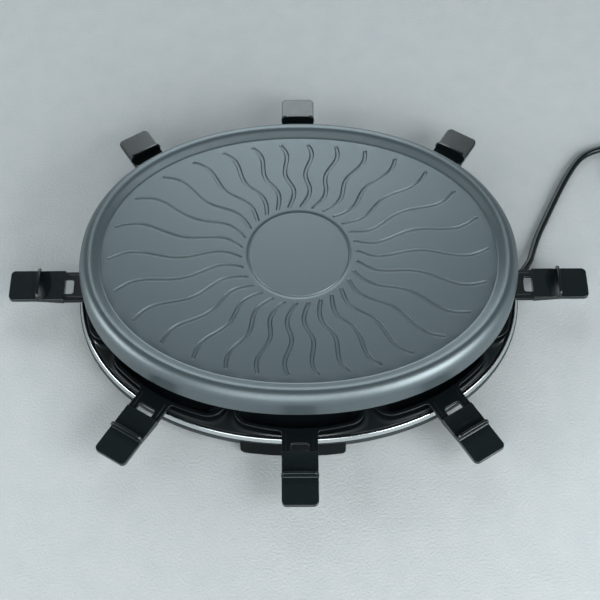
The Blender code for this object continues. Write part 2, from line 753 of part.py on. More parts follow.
def foot_places():
    """Name, middle of the outer edge and direction of each foot."""
    return (
        ("front", (-FRONT_FOOT_SHIFT, -1), FRONT_FOOT_HALF_LENGTH),
        ("back", (FRONT_FOOT_SHIFT, 1), FRONT_FOOT_HALF_LENGTH),
        ("left", (-1, 0.0), SIDE_FOOT_HALF_LENGTH),
        ("right", (1, 0.0), SIDE_FOOT_HALF_LENGTH),
    )


def foot_screw_place(name):
    """Where the screw of a foot goes up into the shell."""
    if name in ("front", "back"):
        sign = -1 if name == "front" else 1
        return (sign * FRONT_FOOT_SHIFT, sign * (BASE_HALF_WIDTH - FOOT_SCREW_INSET))
    sign = -1 if name == "left" else 1
    return (sign * (BASE_HALF_LENGTH - SIDE_FOOT_SETBACK - FOOT_SCREW_INSET), 0.0)


def outlet_ring(distance, half_width, low, high):
    """A section of the cord's outlet, square to the cord, a distance before its mouth."""
    along = Vector((math.cos(OUTLET_BEARING), math.sin(OUTLET_BEARING), 0.0))
    side = Vector((-along.y, along.x, 0.0))
    middle = Vector((*OUTLET_PLACE, 0.0)) - along * distance
    return [middle + side * across + Vector((0.0, 0.0, level))
            for across, level in ((-half_width, low), (half_width, low),
                                  (half_width, high), (-half_width, high))]


def make_base_shell():
    """Moulded lower shell: floor, lip, the ledge that carries the tray, and the cord's outlet."""
    ledge_inner = TRAY_EDGE_INSET + LEDGE_WIDTH
    lean = LEDGE_RISE + LEDGE_SHEET
    profile = [
        (lean, FOOT_HEIGHT), (0.0, FOOT_HEIGHT + lean / 2), (0.0, LIP_TOP),
        (LIP_WALL, LIP_TOP), (TRAY_EDGE_INSET, LEDGE_TOP), (ledge_inner, LEDGE_TOP),
        (ledge_inner, LEDGE_TOP - LEDGE_SHEET), (TRAY_EDGE_INSET, LEDGE_TOP - LEDGE_SHEET),
        (LIP_WALL, LIP_TOP - LEDGE_SHEET), (LIP_WALL, SHELL_FLOOR)]
    rings = [oval(BASE_HALF_LENGTH - inset, BASE_HALF_WIDTH - inset, level)
             for inset, level in profile]
    shell = loft("base_shell", rings, GREY_PLASTIC)
    outlet = loft("outlet", [
        outlet_ring(0.0, OUTLET_WIDTH / 2, FOOT_HEIGHT, LIP_TOP - CLEARANCE),
        outlet_ring(OUTLET_LENGTH, OUTLET_WIDTH / 2, FOOT_HEIGHT, LIP_TOP - CLEARANCE)],
        GREY_PLASTIC)
    shell = join(shell, outlet)
    holes = []
    for name, _, _ in foot_places():
        holes.append(cylinder("foot_hole", foot_screw_place(name), SCREW_RADIUS + CLEARANCE,
                              FOOT_HEIGHT - OVERRUN, SHELL_FLOOR + OVERRUN, GREY_PLASTIC, 12))
    return smooth(cut(shell, *holes))


def make_feet():
    """Four moulded feet under the shell, each with a rubber pad and a screw."""
    for name, (x, y), half_length in foot_places():
        low = FOOT_BOTTOM
        along_x = name in ("front", "back")
        if along_x:
            sign = y
            wall = [oval(BASE_HALF_LENGTH + FRONT_FOOT_PROUD - taper,
                         BASE_HALF_WIDTH + FRONT_FOOT_PROUD - taper, level)
                    for taper, level in ((0.0, low), (FRONT_FOOT_PROUD - CLEARANCE, LIP_TOP))]
            inner = sign * (BASE_HALF_WIDTH - FOOT_DEPTH)
            outer = sign * (BASE_HALF_WIDTH + FRONT_FOOT_PROUD + OVERRUN)
            window = box("foot_window", (x - half_length, min(inner, outer), low - OVERRUN),
                         (x + half_length, max(inner, outer), LIP_TOP + OVERRUN), BLACK_PLASTIC)
        else:
            sign = x
            setback = SIDE_FOOT_SETBACK
            wall = [oval(BASE_HALF_LENGTH - setback, BASE_HALF_WIDTH - setback, level)
                    for level in (low, LIP_TOP)]
            inner = sign * (BASE_HALF_LENGTH - setback - FOOT_DEPTH)
            outer = sign * (BASE_HALF_LENGTH + OVERRUN)
            window = box("foot_window", (min(inner, outer), -half_length, low - OVERRUN),
                         (max(inner, outer), half_length, LIP_TOP + OVERRUN), BLACK_PLASTIC)
        foot = loft("foot_" + name, wall, BLACK_PLASTIC)
        foot = combine(foot, [window], "INTERSECT")
        lean = LEDGE_RISE + LEDGE_SHEET
        clear = [oval(BASE_HALF_LENGTH + CLEARANCE - inset, BASE_HALF_WIDTH + CLEARANCE - inset, level)
                 for inset, level in ((lean, FOOT_HEIGHT - CLEARANCE),
                                      (0.0, FOOT_HEIGHT + lean / 2 - CLEARANCE),
                                      (0.0, LIP_TOP + OVERRUN))]
        place = foot_screw_place(name)
        screw_seat = FOOT_BOTTOM + SCREW_HEAD_HEIGHT + CLEARANCE
        bore = cylinder("foot_bore", place, SCREW_RADIUS + CLEARANCE, low - OVERRUN,
                        FOOT_HEIGHT + OVERRUN, BLACK_PLASTIC, 12)
        head = cylinder("foot_counterbore", place, SCREW_HEAD_RADIUS + CLEARANCE, low - OVERRUN,
                        screw_seat, BLACK_PLASTIC, 12)
        reach = PAD_INSET if along_x else SIDE_FOOT_SETBACK + PAD_INSET
        size = (PAD_LENGTH / 2, PAD_WIDTH / 2) if along_x else (PAD_WIDTH / 2, PAD_LENGTH / 2)
        middle = (x, sign * (BASE_HALF_WIDTH - reach)) if along_x else (
            sign * (BASE_HALF_LENGTH - reach), 0.0)
        pocket = box("pad_pocket",
                     (middle[0] - size[0] - CLEARANCE, middle[1] - size[1] - CLEARANCE,
                      low - OVERRUN),
                     (middle[0] + size[0] + CLEARANCE, middle[1] + size[1] + CLEARANCE,
                      PAD_THICKNESS + CLEARANCE), BLACK_PLASTIC)
        foot = cut(foot, loft("foot_clear", clear, BLACK_PLASTIC), bore, head, pocket)
        smooth(foot)
        rings = [shifted(rectangle(size[0], size[1], PAD_WIDTH / 4, level), *middle)
                 for level in (0.0, PAD_THICKNESS)]
        smooth(loft("foot_pad_" + name, rings, RUBBER))
        screw("foot_screw_" + name, place, screw_seat - CLEARANCE,
              SHELL_FLOOR + SCREW_HEAD_HEIGHT - screw_seat, head_up=False)


def pan_mesh():
    """Dish, stem with folded edges, window and tang, in the pan's own frame."""
    sheet = PAN_SHEET
    rim = PAN_RIM
    bottom = PAN_BOTTOM
    wall_run = PAN_BOTTOM_INSET - PAN_FLANGE
    wall_shares = ((0.45, 0.80), (1.0, 1.0))
    outer = [(0.0, rim), (0.0, rim - sheet)]
    inner = [(PAN_FLANGE / 2, rim)]
    for run, fall in wall_shares:
        outer.append((PAN_FLANGE + wall_run * run, rim - PAN_DEPTH * fall))
        inner.append((PAN_FLANGE + wall_run * run + sheet / 2,
                      rim - (PAN_DEPTH - sheet) * fall))
    outer[-1] = (PAN_BOTTOM_INSET, bottom)
    profile = inner[::-1] + outer
    dish = loft("pan_form", [pan_ring(inset, level) for inset, level in profile], PAN_COATING)
    half = STEM_WIDTH / 2
    tang = TANG_WIDTH / 2
    root = -0.8 * PAN_FLANGE
    fillet = STEM_FILLET
    side = [(root, half + fillet), (0.0, half + fillet), (fillet * 0.3, half + fillet * 0.3),
            (fillet, half), (STEM_LENGTH - CLEARANCE, half), (STEM_LENGTH - CLEARANCE, tang),
            (STEM_LENGTH + TANG_LENGTH, tang)]
    outline = side + [(x, -y) for x, y in side[::-1]]
    inner_edge = STEM_LENGTH - WINDOW_LENGTH
    window_side = WINDOW_WIDTH / 2
    corner = WINDOW_CORNER
    bow = corner * (1 - math.sqrt(0.5))
    window = [(inner_edge, window_side - corner), (inner_edge + bow, window_side - bow),
              (inner_edge + corner, window_side), (STEM_LENGTH, window_side)]
    window += [(x, -y) for x, y in window[::-1]]
    lift = CLEARANCE / 2
    stem = prism("stem_form", [outline, window], rim - sheet - lift, rim - lift, PAN_COATING)
    folds = []
    for sign in (-1, 1):
        edges = sorted((sign * half, sign * (half - sheet)))
        folds.append(box("stem_fold", (fillet, edges[0], rim - sheet - STEM_FOLD),
                         (STEM_LENGTH - CLEARANCE - WELD_DISTANCE, edges[1],
                          rim - sheet / 2), PAN_COATING))
    whole = smooth(join(dish, stem, *folds))
    mesh = whole.data
    bpy.data.objects.remove(whole, do_unlink=True)
    return mesh


def grip_mesh():
    """Moulded grip: tapered bar, thumb scoop, finger stop and the tang's slot."""
    start = STEM_LENGTH
    end = STEM_LENGTH + GRIP_LENGTH
    half = GRIP_WIDTH / 2
    top = PAN_RIM + GRIP_RISE
    corners = ((start, half), (start, -half), (end, -half), (end, half))
    radii = (GRIP_CORNER / 3, GRIP_CORNER / 3, GRIP_CORNER, GRIP_CORNER)
    outline = rounded_outline(corners, radii)

    def bottom(x):
        share = min(1.0, (x - start) / (GRIP_LENGTH - STOP_FROM_TIP))
        return top - GRIP_ROOT_THICKNESS + (GRIP_ROOT_THICKNESS - GRIP_TIP_THICKNESS) * share

    edge = GRIP_CORNER / 6
    rings = [
        [(p.x - n.x * edge, p.y - n.y * edge, top) for p, n in outline],
        [(p.x, p.y, top - edge) for p, n in outline],
        [(p.x, p.y, bottom(p.x)) for p, n in outline]]
    grip = loft("grip_form", rings, BLACK_PLASTIC)
    stop_outer = end - STOP_FROM_TIP
    stop_inner = stop_outer - STOP_THICKNESS
    form = bmesh.new()
    bmesh.ops.create_uvsphere(form, u_segments=12, v_segments=6, radius=1.0)
    bmesh.ops.bisect_plane(form, geom=form.verts[:] + form.edges[:] + form.faces[:],
                           plane_co=(0.0, 0.0, 0.0), plane_no=(1.0, 0.0, 0.0), clear_outer=True)
    bmesh.ops.holes_fill(form, edges=[edge for edge in form.edges if edge.is_boundary])
    bmesh.ops.recalc_face_normals(form, faces=form.faces)
    scoop_lift = SCOOP_DEPTH / 2
    bmesh.ops.scale(form, vec=(SCOOP_LENGTH, half * 1.08, SCOOP_DEPTH + scoop_lift),
                    verts=form.verts)
    bmesh.ops.translate(form, vec=(stop_inner + CLEARANCE, 0.0, top + scoop_lift), verts=form.verts)
    mesh = bpy.data.meshes.new("scoop")
    form.to_mesh(mesh)
    form.free()
    grip = cut(grip, add_part("scoop", mesh, BLACK_PLASTIC))
    reach = half + STOP_OVERHANG
    under = STOP_SHOULDER / 2
    arch = [(-reach, -under), (reach, -under), (reach, STOP_SHOULDER)]
    for step in range(1, 6):
        turn = math.pi * step / 6
        arch.append(((reach - STOP_SHOULDER / 3) * math.cos(turn),
                     STOP_SHOULDER + (STOP_HEIGHT - STOP_SHOULDER) * math.sin(turn) ** 0.6))
    arch.append((-reach, STOP_SHOULDER))
    rings = [[(x, y, top + z) for y, z in arch] for x in (stop_inner, stop_outer)]
    grip = join(grip, loft("stop", rings, BLACK_PLASTIC))
    slot_top = PAN_RIM - CLEARANCE / 2 + CLEARANCE
    slot = box("slot", (start - OVERRUN, -TANG_WIDTH / 2 - CLEARANCE,
                        PAN_RIM - PAN_SHEET - CLEARANCE / 2 - CLEARANCE),
               (start + TANG_LENGTH + CLEARANCE, TANG_WIDTH / 2 + CLEARANCE, slot_top),
               BLACK_PLASTIC)
    grip = smooth(cut(grip, slot))
    mesh = grip.data
    bpy.data.objects.remove(grip, do_unlink=True)
    return mesh


def make_pans():
    """Eight pans and grips; each pair hangs from an empty at the pan's nose."""
    pan_shape = pan_mesh()
    grip_shape = grip_mesh()
    for name, nose, bearing in PAN_PLACES:
        seat = bpy.data.objects.new("pan_seat_" + name, None)
        PARTS.objects.link(seat)
        seat.location = (nose[0], nose[1], 0.0)
        seat.rotation_euler = (0.0, 0.0, bearing)
        for kind, shape, surface in (("pan_", pan_shape, PAN_COATING),
                                     ("grip_", grip_shape, BLACK_PLASTIC)):
            item = add_part(kind + name, shape, surface)
            item.parent = seat


def make_posts():
    """Four turned posts that carry the plate, and the clips that hold the element."""
    foot = TRAY_TOP + CLEARANCE
    seat = PLATE_UNDERSIDE - BOSS_LENGTH - CLEARANCE
    clip_bottom = ELEMENT_LEVEL - ELEMENT_RADIUS - CLEARANCE - CLIP_THICKNESS
    collar = clip_bottom - CLEARANCE
    tip = seat + SPIGOT_LENGTH
    collar_radius = (POST_RADIUS + POST_FLANGE_RADIUS) / 2
    profile = [
        (0.0, tip), (SPIGOT_RADIUS, tip), (SPIGOT_RADIUS, seat), (POST_RADIUS, seat),
        (POST_RADIUS, collar), (collar_radius, collar),
        (collar_radius, collar - POST_FLANGE_HEIGHT), (POST_RADIUS, collar - POST_FLANGE_HEIGHT),
        (POST_RADIUS, foot + POST_FLANGE_HEIGHT), (POST_FLANGE_RADIUS, foot + POST_FLANGE_HEIGHT),
        (POST_FLANGE_RADIUS, foot), (0.0, foot)]
    for number, place in enumerate(POST_PLACES, start=1):
        post = turned("plate_post_%d" % number, profile, ZINC_STEEL, 10)
        post.data.transform(Matrix.Translation((*place, 0.0)))
        toward = Vector(nearest_on_element(place)) - Vector(place)
        reach = toward.length
        inward = toward.normalized()
        bearing = math.atan2(inward.y, inward.x)
        back = -(POST_RADIUS + CLIP_THICKNESS * 2)
        front = reach + ELEMENT_RADIUS + CLEARANCE + CLIP_THICKNESS
        half = CLIP_WIDTH / 2
        clip = box("element_clip_%d" % number, (back, -half, clip_bottom),
                   (front, half, clip_bottom + CLIP_THICKNESS), ZINC_STEEL)
        lip = box("clip_lip", (front - CLIP_THICKNESS, -half, clip_bottom + CLIP_THICKNESS / 2),
                  (front, half, ELEMENT_LEVEL + ELEMENT_RADIUS), ZINC_STEEL)
        clip = join(clip, lip)
        clip = cut(clip, cylinder("clip_hole", (0.0, 0.0), POST_RADIUS + CLEARANCE,
                                  clip_bottom - OVERRUN, clip_bottom + CLIP_THICKNESS + OVERRUN,
                                  ZINC_STEEL, 10))
        clip.data.transform(Matrix.Translation((*place, 0.0)) @ Matrix.Rotation(bearing, 4, "Z"))


def nearest_on_element(place):
    """The point of the element's oval that lies nearest to a post."""
    steps = 720
    ring = oval(ELEMENT_HALF_LENGTH, ELEMENT_HALF_WIDTH, 0.0, steps)
    best = min(ring, key=lambda p: math.hypot(p[0] - place[0], p[1] - place[1]))
    return best[0], best[1]


def quarter_bend(centre, start, end, steps=4):
    """Points on a quarter circle, given its centre and its two end spokes."""
    return [Vector(centre) + Vector(start) * math.cos(math.pi / 2 * step / steps)
            + Vector(end) * math.sin(math.pi / 2 * step / steps) for step in range(steps + 1)]


def make_element():
    """One tubular heater: an open oval loop with two cold ends that dive into the housing."""
    level = ELEMENT_LEVEL
    half_gap = ELEMENT_END_SPACING / 2
    bend = ELEMENT_BEND
    block_top = HOUSING_FOOT + BLOCK_HEIGHT + CLEARANCE
    end_x = ELEMENT_END_REACH
    oval_x = ELEMENT_HALF_LENGTH * (
        1 - ((half_gap + bend) / ELEMENT_HALF_WIDTH) ** OVAL_POWER) ** (1 / OVAL_POWER)
    corner_x = oval_x - bend
    points = [Vector((end_x, half_gap, block_top)), Vector((end_x, half_gap, level - bend))]
    points += quarter_bend((end_x + bend, half_gap, level - bend), (-bend, 0.0, 0.0),
                           (0.0, 0.0, bend))[1:]
    points += quarter_bend((corner_x, half_gap + bend, level), (0.0, -bend, 0.0),
                           (bend, 0.0, 0.0))
    lead = list(points)
    first = math.asin(min(1.0, ((half_gap + bend) / ELEMENT_HALF_WIDTH) ** (OVAL_POWER / 2)))
    steps = 38
    for step in range(1, steps):
        along, across = oval_radius_shares(first + (math.tau - 2 * first) * step / steps)
        points.append(Vector((ELEMENT_HALF_LENGTH * along, ELEMENT_HALF_WIDTH * across, level)))
    mirrored = [Vector((p.x, -p.y, p.z)) for p in reversed(lead)]
    return tube("heating_element", points + mirrored, ELEMENT_RADIUS, ELEMENT_STEEL, 1)


def make_housing():
    """Sheet cover over the terminals, with a flange that is screwed to the tray."""
    wall = HOUSING_WALL
    a = HOUSING_HALF_LENGTH
    b = HOUSING_HALF_WIDTH
    r = HOUSING_CORNER
    flange = HOUSING_FLANGE
    foot = HOUSING_FOOT
    top = HOUSING_TOP
    rings = [
        rectangle(a - wall, b - wall, r - wall, top - wall),
        rectangle(a - wall, b - wall, r - wall, foot),
        rectangle(a + flange, b + wall, r, foot),
        rectangle(a + flange, b + wall, r, foot + wall),
        rectangle(a, b, r, foot + wall),
        rectangle(a, b, r, top - wall),
        rectangle(a - wall, b - wall, r - wall, top)]
    housing = loft("terminal_housing", rings, ZINC_STEEL)
    holes = []
    for sign in (-1, 1):
        holes.append(cylinder(
            "element_hole", (ELEMENT_END_REACH, sign * ELEMENT_END_SPACING / 2),
            ELEMENT_RADIUS + CLEARANCE, top - wall - OVERRUN, top + OVERRUN, ZINC_STEEL))
    for place in housing_screw_places():
        holes.append(cylinder("flange_hole", place, SCREW_RADIUS + CLEARANCE, foot - OVERRUN,
                              foot + wall + OVERRUN, ZINC_STEEL, 12))
    smooth(cut(housing, *holes))
    for name, place in zip(("left", "right"), housing_screw_places()):
        screw("housing_screw_" + name, place, foot + wall + CLEARANCE,
              wall + TRAY_SHEET + SCREW_HEAD_HEIGHT)
    block_x = ELEMENT_END_REACH - BLOCK_LENGTH / 2 + ELEMENT_RADIUS * 2
    block = box("terminal_block", (block_x - BLOCK_LENGTH / 2, -BLOCK_WIDTH / 2, foot),
                (block_x + BLOCK_LENGTH / 2, BLOCK_WIDTH / 2, foot + BLOCK_HEIGHT), CERAMIC)
    barrier = box("barrier", (block_x - BLOCK_LENGTH / 2, -CLEARANCE * 4, foot + BLOCK_HEIGHT / 2),
                  (block_x + BLOCK_LENGTH / 2, CLEARANCE * 4, foot + BLOCK_HEIGHT + CUTOUT_HEIGHT / 2),
                  CERAMIC)
    join(block, barrier)
    cutout_x = block_x - BLOCK_LENGTH / 2 - CUTOUT_RADIUS * 2
    cutout_y = HOUSING_HALF_WIDTH - HOUSING_WALL - CUTOUT_RADIUS - CLEARANCE
    profile = [(0.0, foot + CUTOUT_HEIGHT), (CUTOUT_RADIUS * 0.8, foot + CUTOUT_HEIGHT),
               (CUTOUT_RADIUS, foot + CUTOUT_HEIGHT * 0.8), (CUTOUT_RADIUS, foot), (0.0, foot)]
    can = turned("thermal_cutout", profile, ZINC_STEEL)
    can.data.transform(Matrix.Translation((cutout_x, cutout_y, 0.0)))
    return block_x - BLOCK_LENGTH / 2


def make_wires(block_edge):
    """Three insulated wires from the block, through the tray, to the cord's outlet."""
    hole_x = -HOUSING_HALF_LENGTH / 2 - WIRE_HOLE_RADIUS
    start_level = HOUSING_FOOT + BLOCK_HEIGHT / 2
    low_level = SHELL_FLOOR + WIRE_RADIUS + CLEARANCE
    along = Vector((math.cos(OUTLET_BEARING), math.sin(OUTLET_BEARING), 0.0))
    side = Vector((-along.y, along.x, 0.0))
    mitre = Vector((-math.tan(OUTLET_BEARING / 2), 1.0, 0.0))
    mouth = Vector((*OUTLET_PLACE, 0.0)) - along * (OUTLET_LENGTH + CLEARANCE)
    for name, row, surface in (("wire_live", -1, WIRE_BROWN), ("wire_earth", 0, WIRE_GREEN),
                               ("wire_neutral", 1, WIRE_BLUE)):
        y = row * WIRE_SPACING
        spread = row * (WIRE_RADIUS * 2 + CLEARANCE * 3)
        end = mouth + side * spread
        run_in = mouth - along * OUTLET_LENGTH + mitre * spread
        points = [
            (block_edge - CLEARANCE, y, start_level),
            (hole_x + WIRE_RADIUS * 4, y, start_level),
            (hole_x, y, (start_level + low_level) / 2),
            (hole_x + WIRE_RADIUS * 5, y, low_level),
            (0.0, y, low_level),
            (run_in.x / 2, (y + run_in.y) / 2, low_level),
            (run_in.x, run_in.y, low_level),
            (end.x, end.y, low_level)]
        tube(name, smooth_route(points, WIRE_SPACING * 7), WIRE_RADIUS, surface, 1)


def make_cord():
    """Strain relief, free cord, tied coil, tail and plug, all lying on the table."""
    along = Vector((math.cos(OUTLET_BEARING), math.sin(OUTLET_BEARING), 0.0))
    profile = [(0.0, BOOT_LENGTH), (BOOT_TIP_RADIUS, BOOT_LENGTH),
               ((BOOT_TIP_RADIUS + BOOT_ROOT_RADIUS) / 2, BOOT_LENGTH / 2),
               (BOOT_ROOT_RADIUS, CLEARANCE * 4), (BOOT_ROOT_RADIUS, 0.0), (0.0, 0.0)]
    boot = turned("strain_relief", profile, CORD_RUBBER, 12)
    mouth = Vector((*OUTLET_PLACE, FOOT_HEIGHT + LIP_HEIGHT / 2))
    aim = along * math.cos(BOOT_DIP) - Vector((0.0, 0.0, math.sin(BOOT_DIP)))
    start = mouth + along * (CLEARANCE + BOOT_ROOT_RADIUS * math.sin(BOOT_DIP))
    turn = Vector((0.0, 0.0, 1.0)).rotation_difference(aim).to_matrix().to_4x4()
    boot.data.transform(Matrix.Translation(start) @ turn)
    boot_end = start + aim * (BOOT_LENGTH + CLEARANCE)
    straight_end = boot_end + aim * CORD_RADIUS * 2
    route = [boot_end] + smooth_route([straight_end] + list(CORD_ROUTE), CORD_POINT_STEP)
    coil = coil_points()
    arrive = (coil[1] - coil[0]).normalized()
    route.append(coil[0] - arrive * CORD_RADIUS * 2)
    route.append(coil[0] - arrive * CLEARANCE)
    tube("power_cord", route, CORD_RADIUS, CORD_RUBBER)
    tube("cord_coil", coil, CORD_RADIUS, CORD_RUBBER, 1)
    print("least gap of the coil to itself: %.2f mm" % (1000 * least_gap(coil)))
    make_tie()
    leave = (coil[-1] - coil[-2]).normalized()
    tail_start = coil[-1] + leave * CLEARANCE
    make_plug(tail_start, leave)


def coil_points():
    """Two layers of turns: a spiral inward, a climb, and a spiral outward above it."""
    per_turn = COIL_POINTS_PER_TURN
    climb_start = COIL_LOWER_TURNS
    climb_end = COIL_LOWER_TURNS + COIL_CLIMB_TURNS
    turns = climb_end + COIL_UPPER_TURNS
    inner = COIL_OUTER_RADIUS - COIL_PITCH * COIL_LOWER_TURNS
    points = []
    for step in range(round(turns * per_turn) + 1):
        turn = step / per_turn
        if turn <= climb_start:
            radius = COIL_OUTER_RADIUS - COIL_PITCH * turn
            rise = 0.0
        elif turn >= climb_end:
            radius = inner + COIL_PITCH * (turn - climb_end)
            rise = 1.0
        else:
            t = (turn - climb_start) / (climb_end - climb_start)
            radius = inner - COIL_PITCH * 0.15 * math.sin(math.pi * t)
            rise = (1 - math.cos(math.pi * t)) / 2
        angle = math.pi / 2 - math.tau * turn
        points.append(Vector((COIL_CENTRE[0] + radius * math.cos(angle),
                              COIL_CENTRE[1] + radius * math.sin(angle),
                              COIL_LEVEL + COIL_LAYER_RISE * rise)))
    start_along = Vector((1.0, 0.0, 0.0))
    last = points[-1] - points[-2]
    end_along = Vector((last.x, last.y, 0.0)).normalized()
    lead = 2 * CORD_RADIUS
    points.insert(0, points[0] - start_along * lead)
    points.append(points[-1] + end_along * lead)
    return points


def least_gap(points):
    """Least free distance between stretches of the coil that aren't neighbours."""
    skip = COIL_POINTS_PER_TURN // 3
    best = math.inf
    for index, point in enumerate(points):
        for other in range(index + skip, len(points) - 1):
            start = points[other]
            run = points[other + 1] - start
            share = max(0.0, min(1.0, (point - start).dot(run) / run.length_squared))
            best = min(best, (point - start - run * share).length)
    return best - 2 * CORD_RADIUS


def make_tie():
    """A flat tie round the bundle of turns, on the side away from the grill."""
    inner_radius = COIL_OUTER_RADIUS - COIL_PITCH * (COIL_LOWER_TURNS + COIL_CLIMB_TURNS)
    gap = CORD_RADIUS + CLEARANCE * 2
    low = COIL_LEVEL - gap
    high = COIL_LEVEL + COIL_LAYER_RISE + gap
    middle_radius = (inner_radius + COIL_OUTER_RADIUS) / 2
    half_run = (COIL_OUTER_RADIUS - inner_radius) / 2 + gap
    half_rise = (high - low) / 2
    rings = []
    for x in (-TIE_WIDTH / 2, TIE_WIDTH / 2):
        for grow in ((0.0, TIE_SHEET) if x < 0 else (TIE_SHEET, 0.0)):
            ring = rectangle(half_run + grow, half_rise + grow, CORD_RADIUS + grow, x, 2)
            rings.append([(across, height + (low + high) / 2, z) for across, height, z in ring])
    tie = loft("coil_tie", rings, RUBBER, closed=True)
    upright = Matrix(((0.0, 0.0, 1.0, 0.0), (1.0, 0.0, 0.0, 0.0), (0.0, 1.0, 0.0, 0.0),
                      (0.0, 0.0, 0.0, 1.0)))
    place = Matrix.Translation((COIL_CENTRE[0], COIL_CENTRE[1] + middle_radius, 0.0))
    spin = Matrix.Translation((COIL_CENTRE[0], COIL_CENTRE[1], 0.0)) @ Matrix.Rotation(
        -math.pi / 2, 4, "Z") @ Matrix.Translation((-COIL_CENTRE[0], -COIL_CENTRE[1], 0.0))
    tie.data.transform(spin @ place @ upright)
    return smooth(tie)


def make_plug(tail_start, leave):
    """The tail from the coil down to a round moulded plug with two pins."""
    axis_level = PLUG_RADIUS
    neck_tip = tail_start + leave * TAIL_LENGTH
    neck_tip.z = axis_level
    plug_along = leave
    tail = [tail_start, tail_start + leave * CORD_RADIUS * 4,
            neck_tip - plug_along * CORD_RADIUS * 4, neck_tip]
    tube("cord_tail", smooth_route(tail, CORD_POINT_STEP / 2), CORD_RADIUS, CORD_RUBBER)
    neck = PLUG_NECK_LENGTH
    full = neck + PLUG_LENGTH
    chamfer = PLUG_LENGTH / 8
    profile = [
        (0.0, full), (PLUG_RADIUS - chamfer / 2, full), (PLUG_RADIUS, full - chamfer),
        (PLUG_RADIUS, full - PLUG_LENGTH / 2), (PLUG_RADIUS * 0.78, neck + chamfer * 2),
        (PLUG_NECK_RADIUS + chamfer / 2, neck), (PLUG_NECK_RADIUS * 0.8, 0.0), (0.0, 0.0)]
    plug = turned("plug_body", profile, CORD_RUBBER, PLUG_STEPS)
    turn = Vector((0.0, 0.0, 1.0)).rotation_difference(plug_along).to_matrix().to_4x4()
    base = neck_tip + plug_along * CLEARANCE
    place = Matrix.Translation(base) @ turn
    holes = []
    side = Vector((-plug_along.y, plug_along.x, 0.0))
    seat = PLUG_LENGTH / 4
    for name, sign in (("a", -1), ("b", 1)):
        centre = base + side * sign * PIN_SPACING / 2
        hole = turned("pin_hole", [(0.0, full + OVERRUN), (PIN_RADIUS + CLEARANCE, full + OVERRUN),
                                   (PIN_RADIUS + CLEARANCE, full - seat), (0.0, full - seat)],
                      CORD_RUBBER, 12)
        hole.data.transform(Matrix.Translation(centre) @ turn)
        holes.append(hole)
        bottom = full - seat + CLEARANCE
        tip = full + PIN_LENGTH
        pin = turned("plug_pin_" + name, [
            (0.0, tip), (PIN_RADIUS / 2, tip), (PIN_RADIUS, tip - PIN_RADIUS / 2),
            (PIN_RADIUS, bottom), (0.0, bottom)], PIN_METAL, 12)
        pin.data.transform(Matrix.Translation(centre) @ turn)
    plug.data.transform(place)
    smooth(cut(plug, *holes))


def main():
    make_grill_plate()
    make_trim_band()
    make_tray()
    make_base_shell()
    make_feet()
    make_pans()
    make_posts()
    make_element()
    make_wires(make_housing())
    make_cord()
    bpy.context.view_layer.update()


main()
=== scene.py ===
"""Looks of the oval party grill: camera, light, floor, materials and the finer pieces."""

import json
from math import asin, atan2, copysign, cos, hypot, pi, radians, sin, sqrt, tan, tau

import bmesh
import bpy
from mathutils import Matrix, Vector


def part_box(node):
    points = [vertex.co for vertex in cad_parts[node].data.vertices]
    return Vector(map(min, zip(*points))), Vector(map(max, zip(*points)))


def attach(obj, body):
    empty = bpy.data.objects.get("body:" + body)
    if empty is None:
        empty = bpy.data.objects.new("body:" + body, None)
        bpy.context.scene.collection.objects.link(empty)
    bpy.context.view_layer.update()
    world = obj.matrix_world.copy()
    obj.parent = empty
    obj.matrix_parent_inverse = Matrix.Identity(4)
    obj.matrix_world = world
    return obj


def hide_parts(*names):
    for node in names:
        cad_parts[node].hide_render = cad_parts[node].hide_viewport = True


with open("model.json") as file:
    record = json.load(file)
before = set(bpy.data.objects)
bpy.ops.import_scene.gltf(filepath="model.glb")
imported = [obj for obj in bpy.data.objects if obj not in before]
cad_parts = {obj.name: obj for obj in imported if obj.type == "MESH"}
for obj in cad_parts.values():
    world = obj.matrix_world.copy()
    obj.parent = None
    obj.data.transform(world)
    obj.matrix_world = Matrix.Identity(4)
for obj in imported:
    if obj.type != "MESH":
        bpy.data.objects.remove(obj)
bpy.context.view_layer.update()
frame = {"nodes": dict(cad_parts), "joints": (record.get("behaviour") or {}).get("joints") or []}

# Camera, from the fit to the photograph
CAMERA_PLACE = (-0.0034, -0.7257, 1.1653)
CAMERA_AIM = (0.0032962, 0.5290601, -0.8485780)
CAMERA_LENS = 81.78
SENSOR_WIDTH = 36.0

# Surroundings
WORLD_TINT = (0.86, 0.95, 1.0)
BACKDROP_SHADE = 0.60
WORLD_SHADES = (  # elevation in degrees, and brightness
    (-90.0, 0.30), (0.0, BACKDROP_SHADE), (14.0, 0.50), (26.0, 0.06), (58.0, 0.055),
    (68.0, 0.055), (90.0, 0.045),
)
FLOOR_REACH = 4.0
FADE_START = 0.62  # the floor turns into the backdrop between these distances
FADE_END = 1.35
LAMP_TINT = (0.93, 0.98, 1.0)
WINDOW_TINT = (0.86, 0.96, 1.0)
LIGHTS = (  # name, place, aim, length and width, power and tint
    ("key", (1.25, -0.75, 0.85), (0.1, 0.0, 0.0), (0.9, 0.9), 13.0, LAMP_TINT),
    ("right_front", (1.1, -1.25, 0.75), (0.0, 0.0, 0.05), (1.0, 1.4), 25.0, LAMP_TINT),
    ("front", (-0.25, -1.6, 0.9), (0.0, 0.0, 0.05), (1.3, 1.6), 19.5, LAMP_TINT),
    ("side", (-1.35, -0.35, 0.6), (0.0, 0.0, 0.05), (1.0, 0.7), 12.5, LAMP_TINT),
    ("window", (-0.15, 1.8, 0.95), (0.0, 0.0, 0.1), (1.6, 1.5), 17.5, WINDOW_TINT),
    ("upper_window", (0.0, 1.35, 1.60), (0.0, 0.0, 0.1), (0.60, 0.45), 3.6, WINDOW_TINT),
)

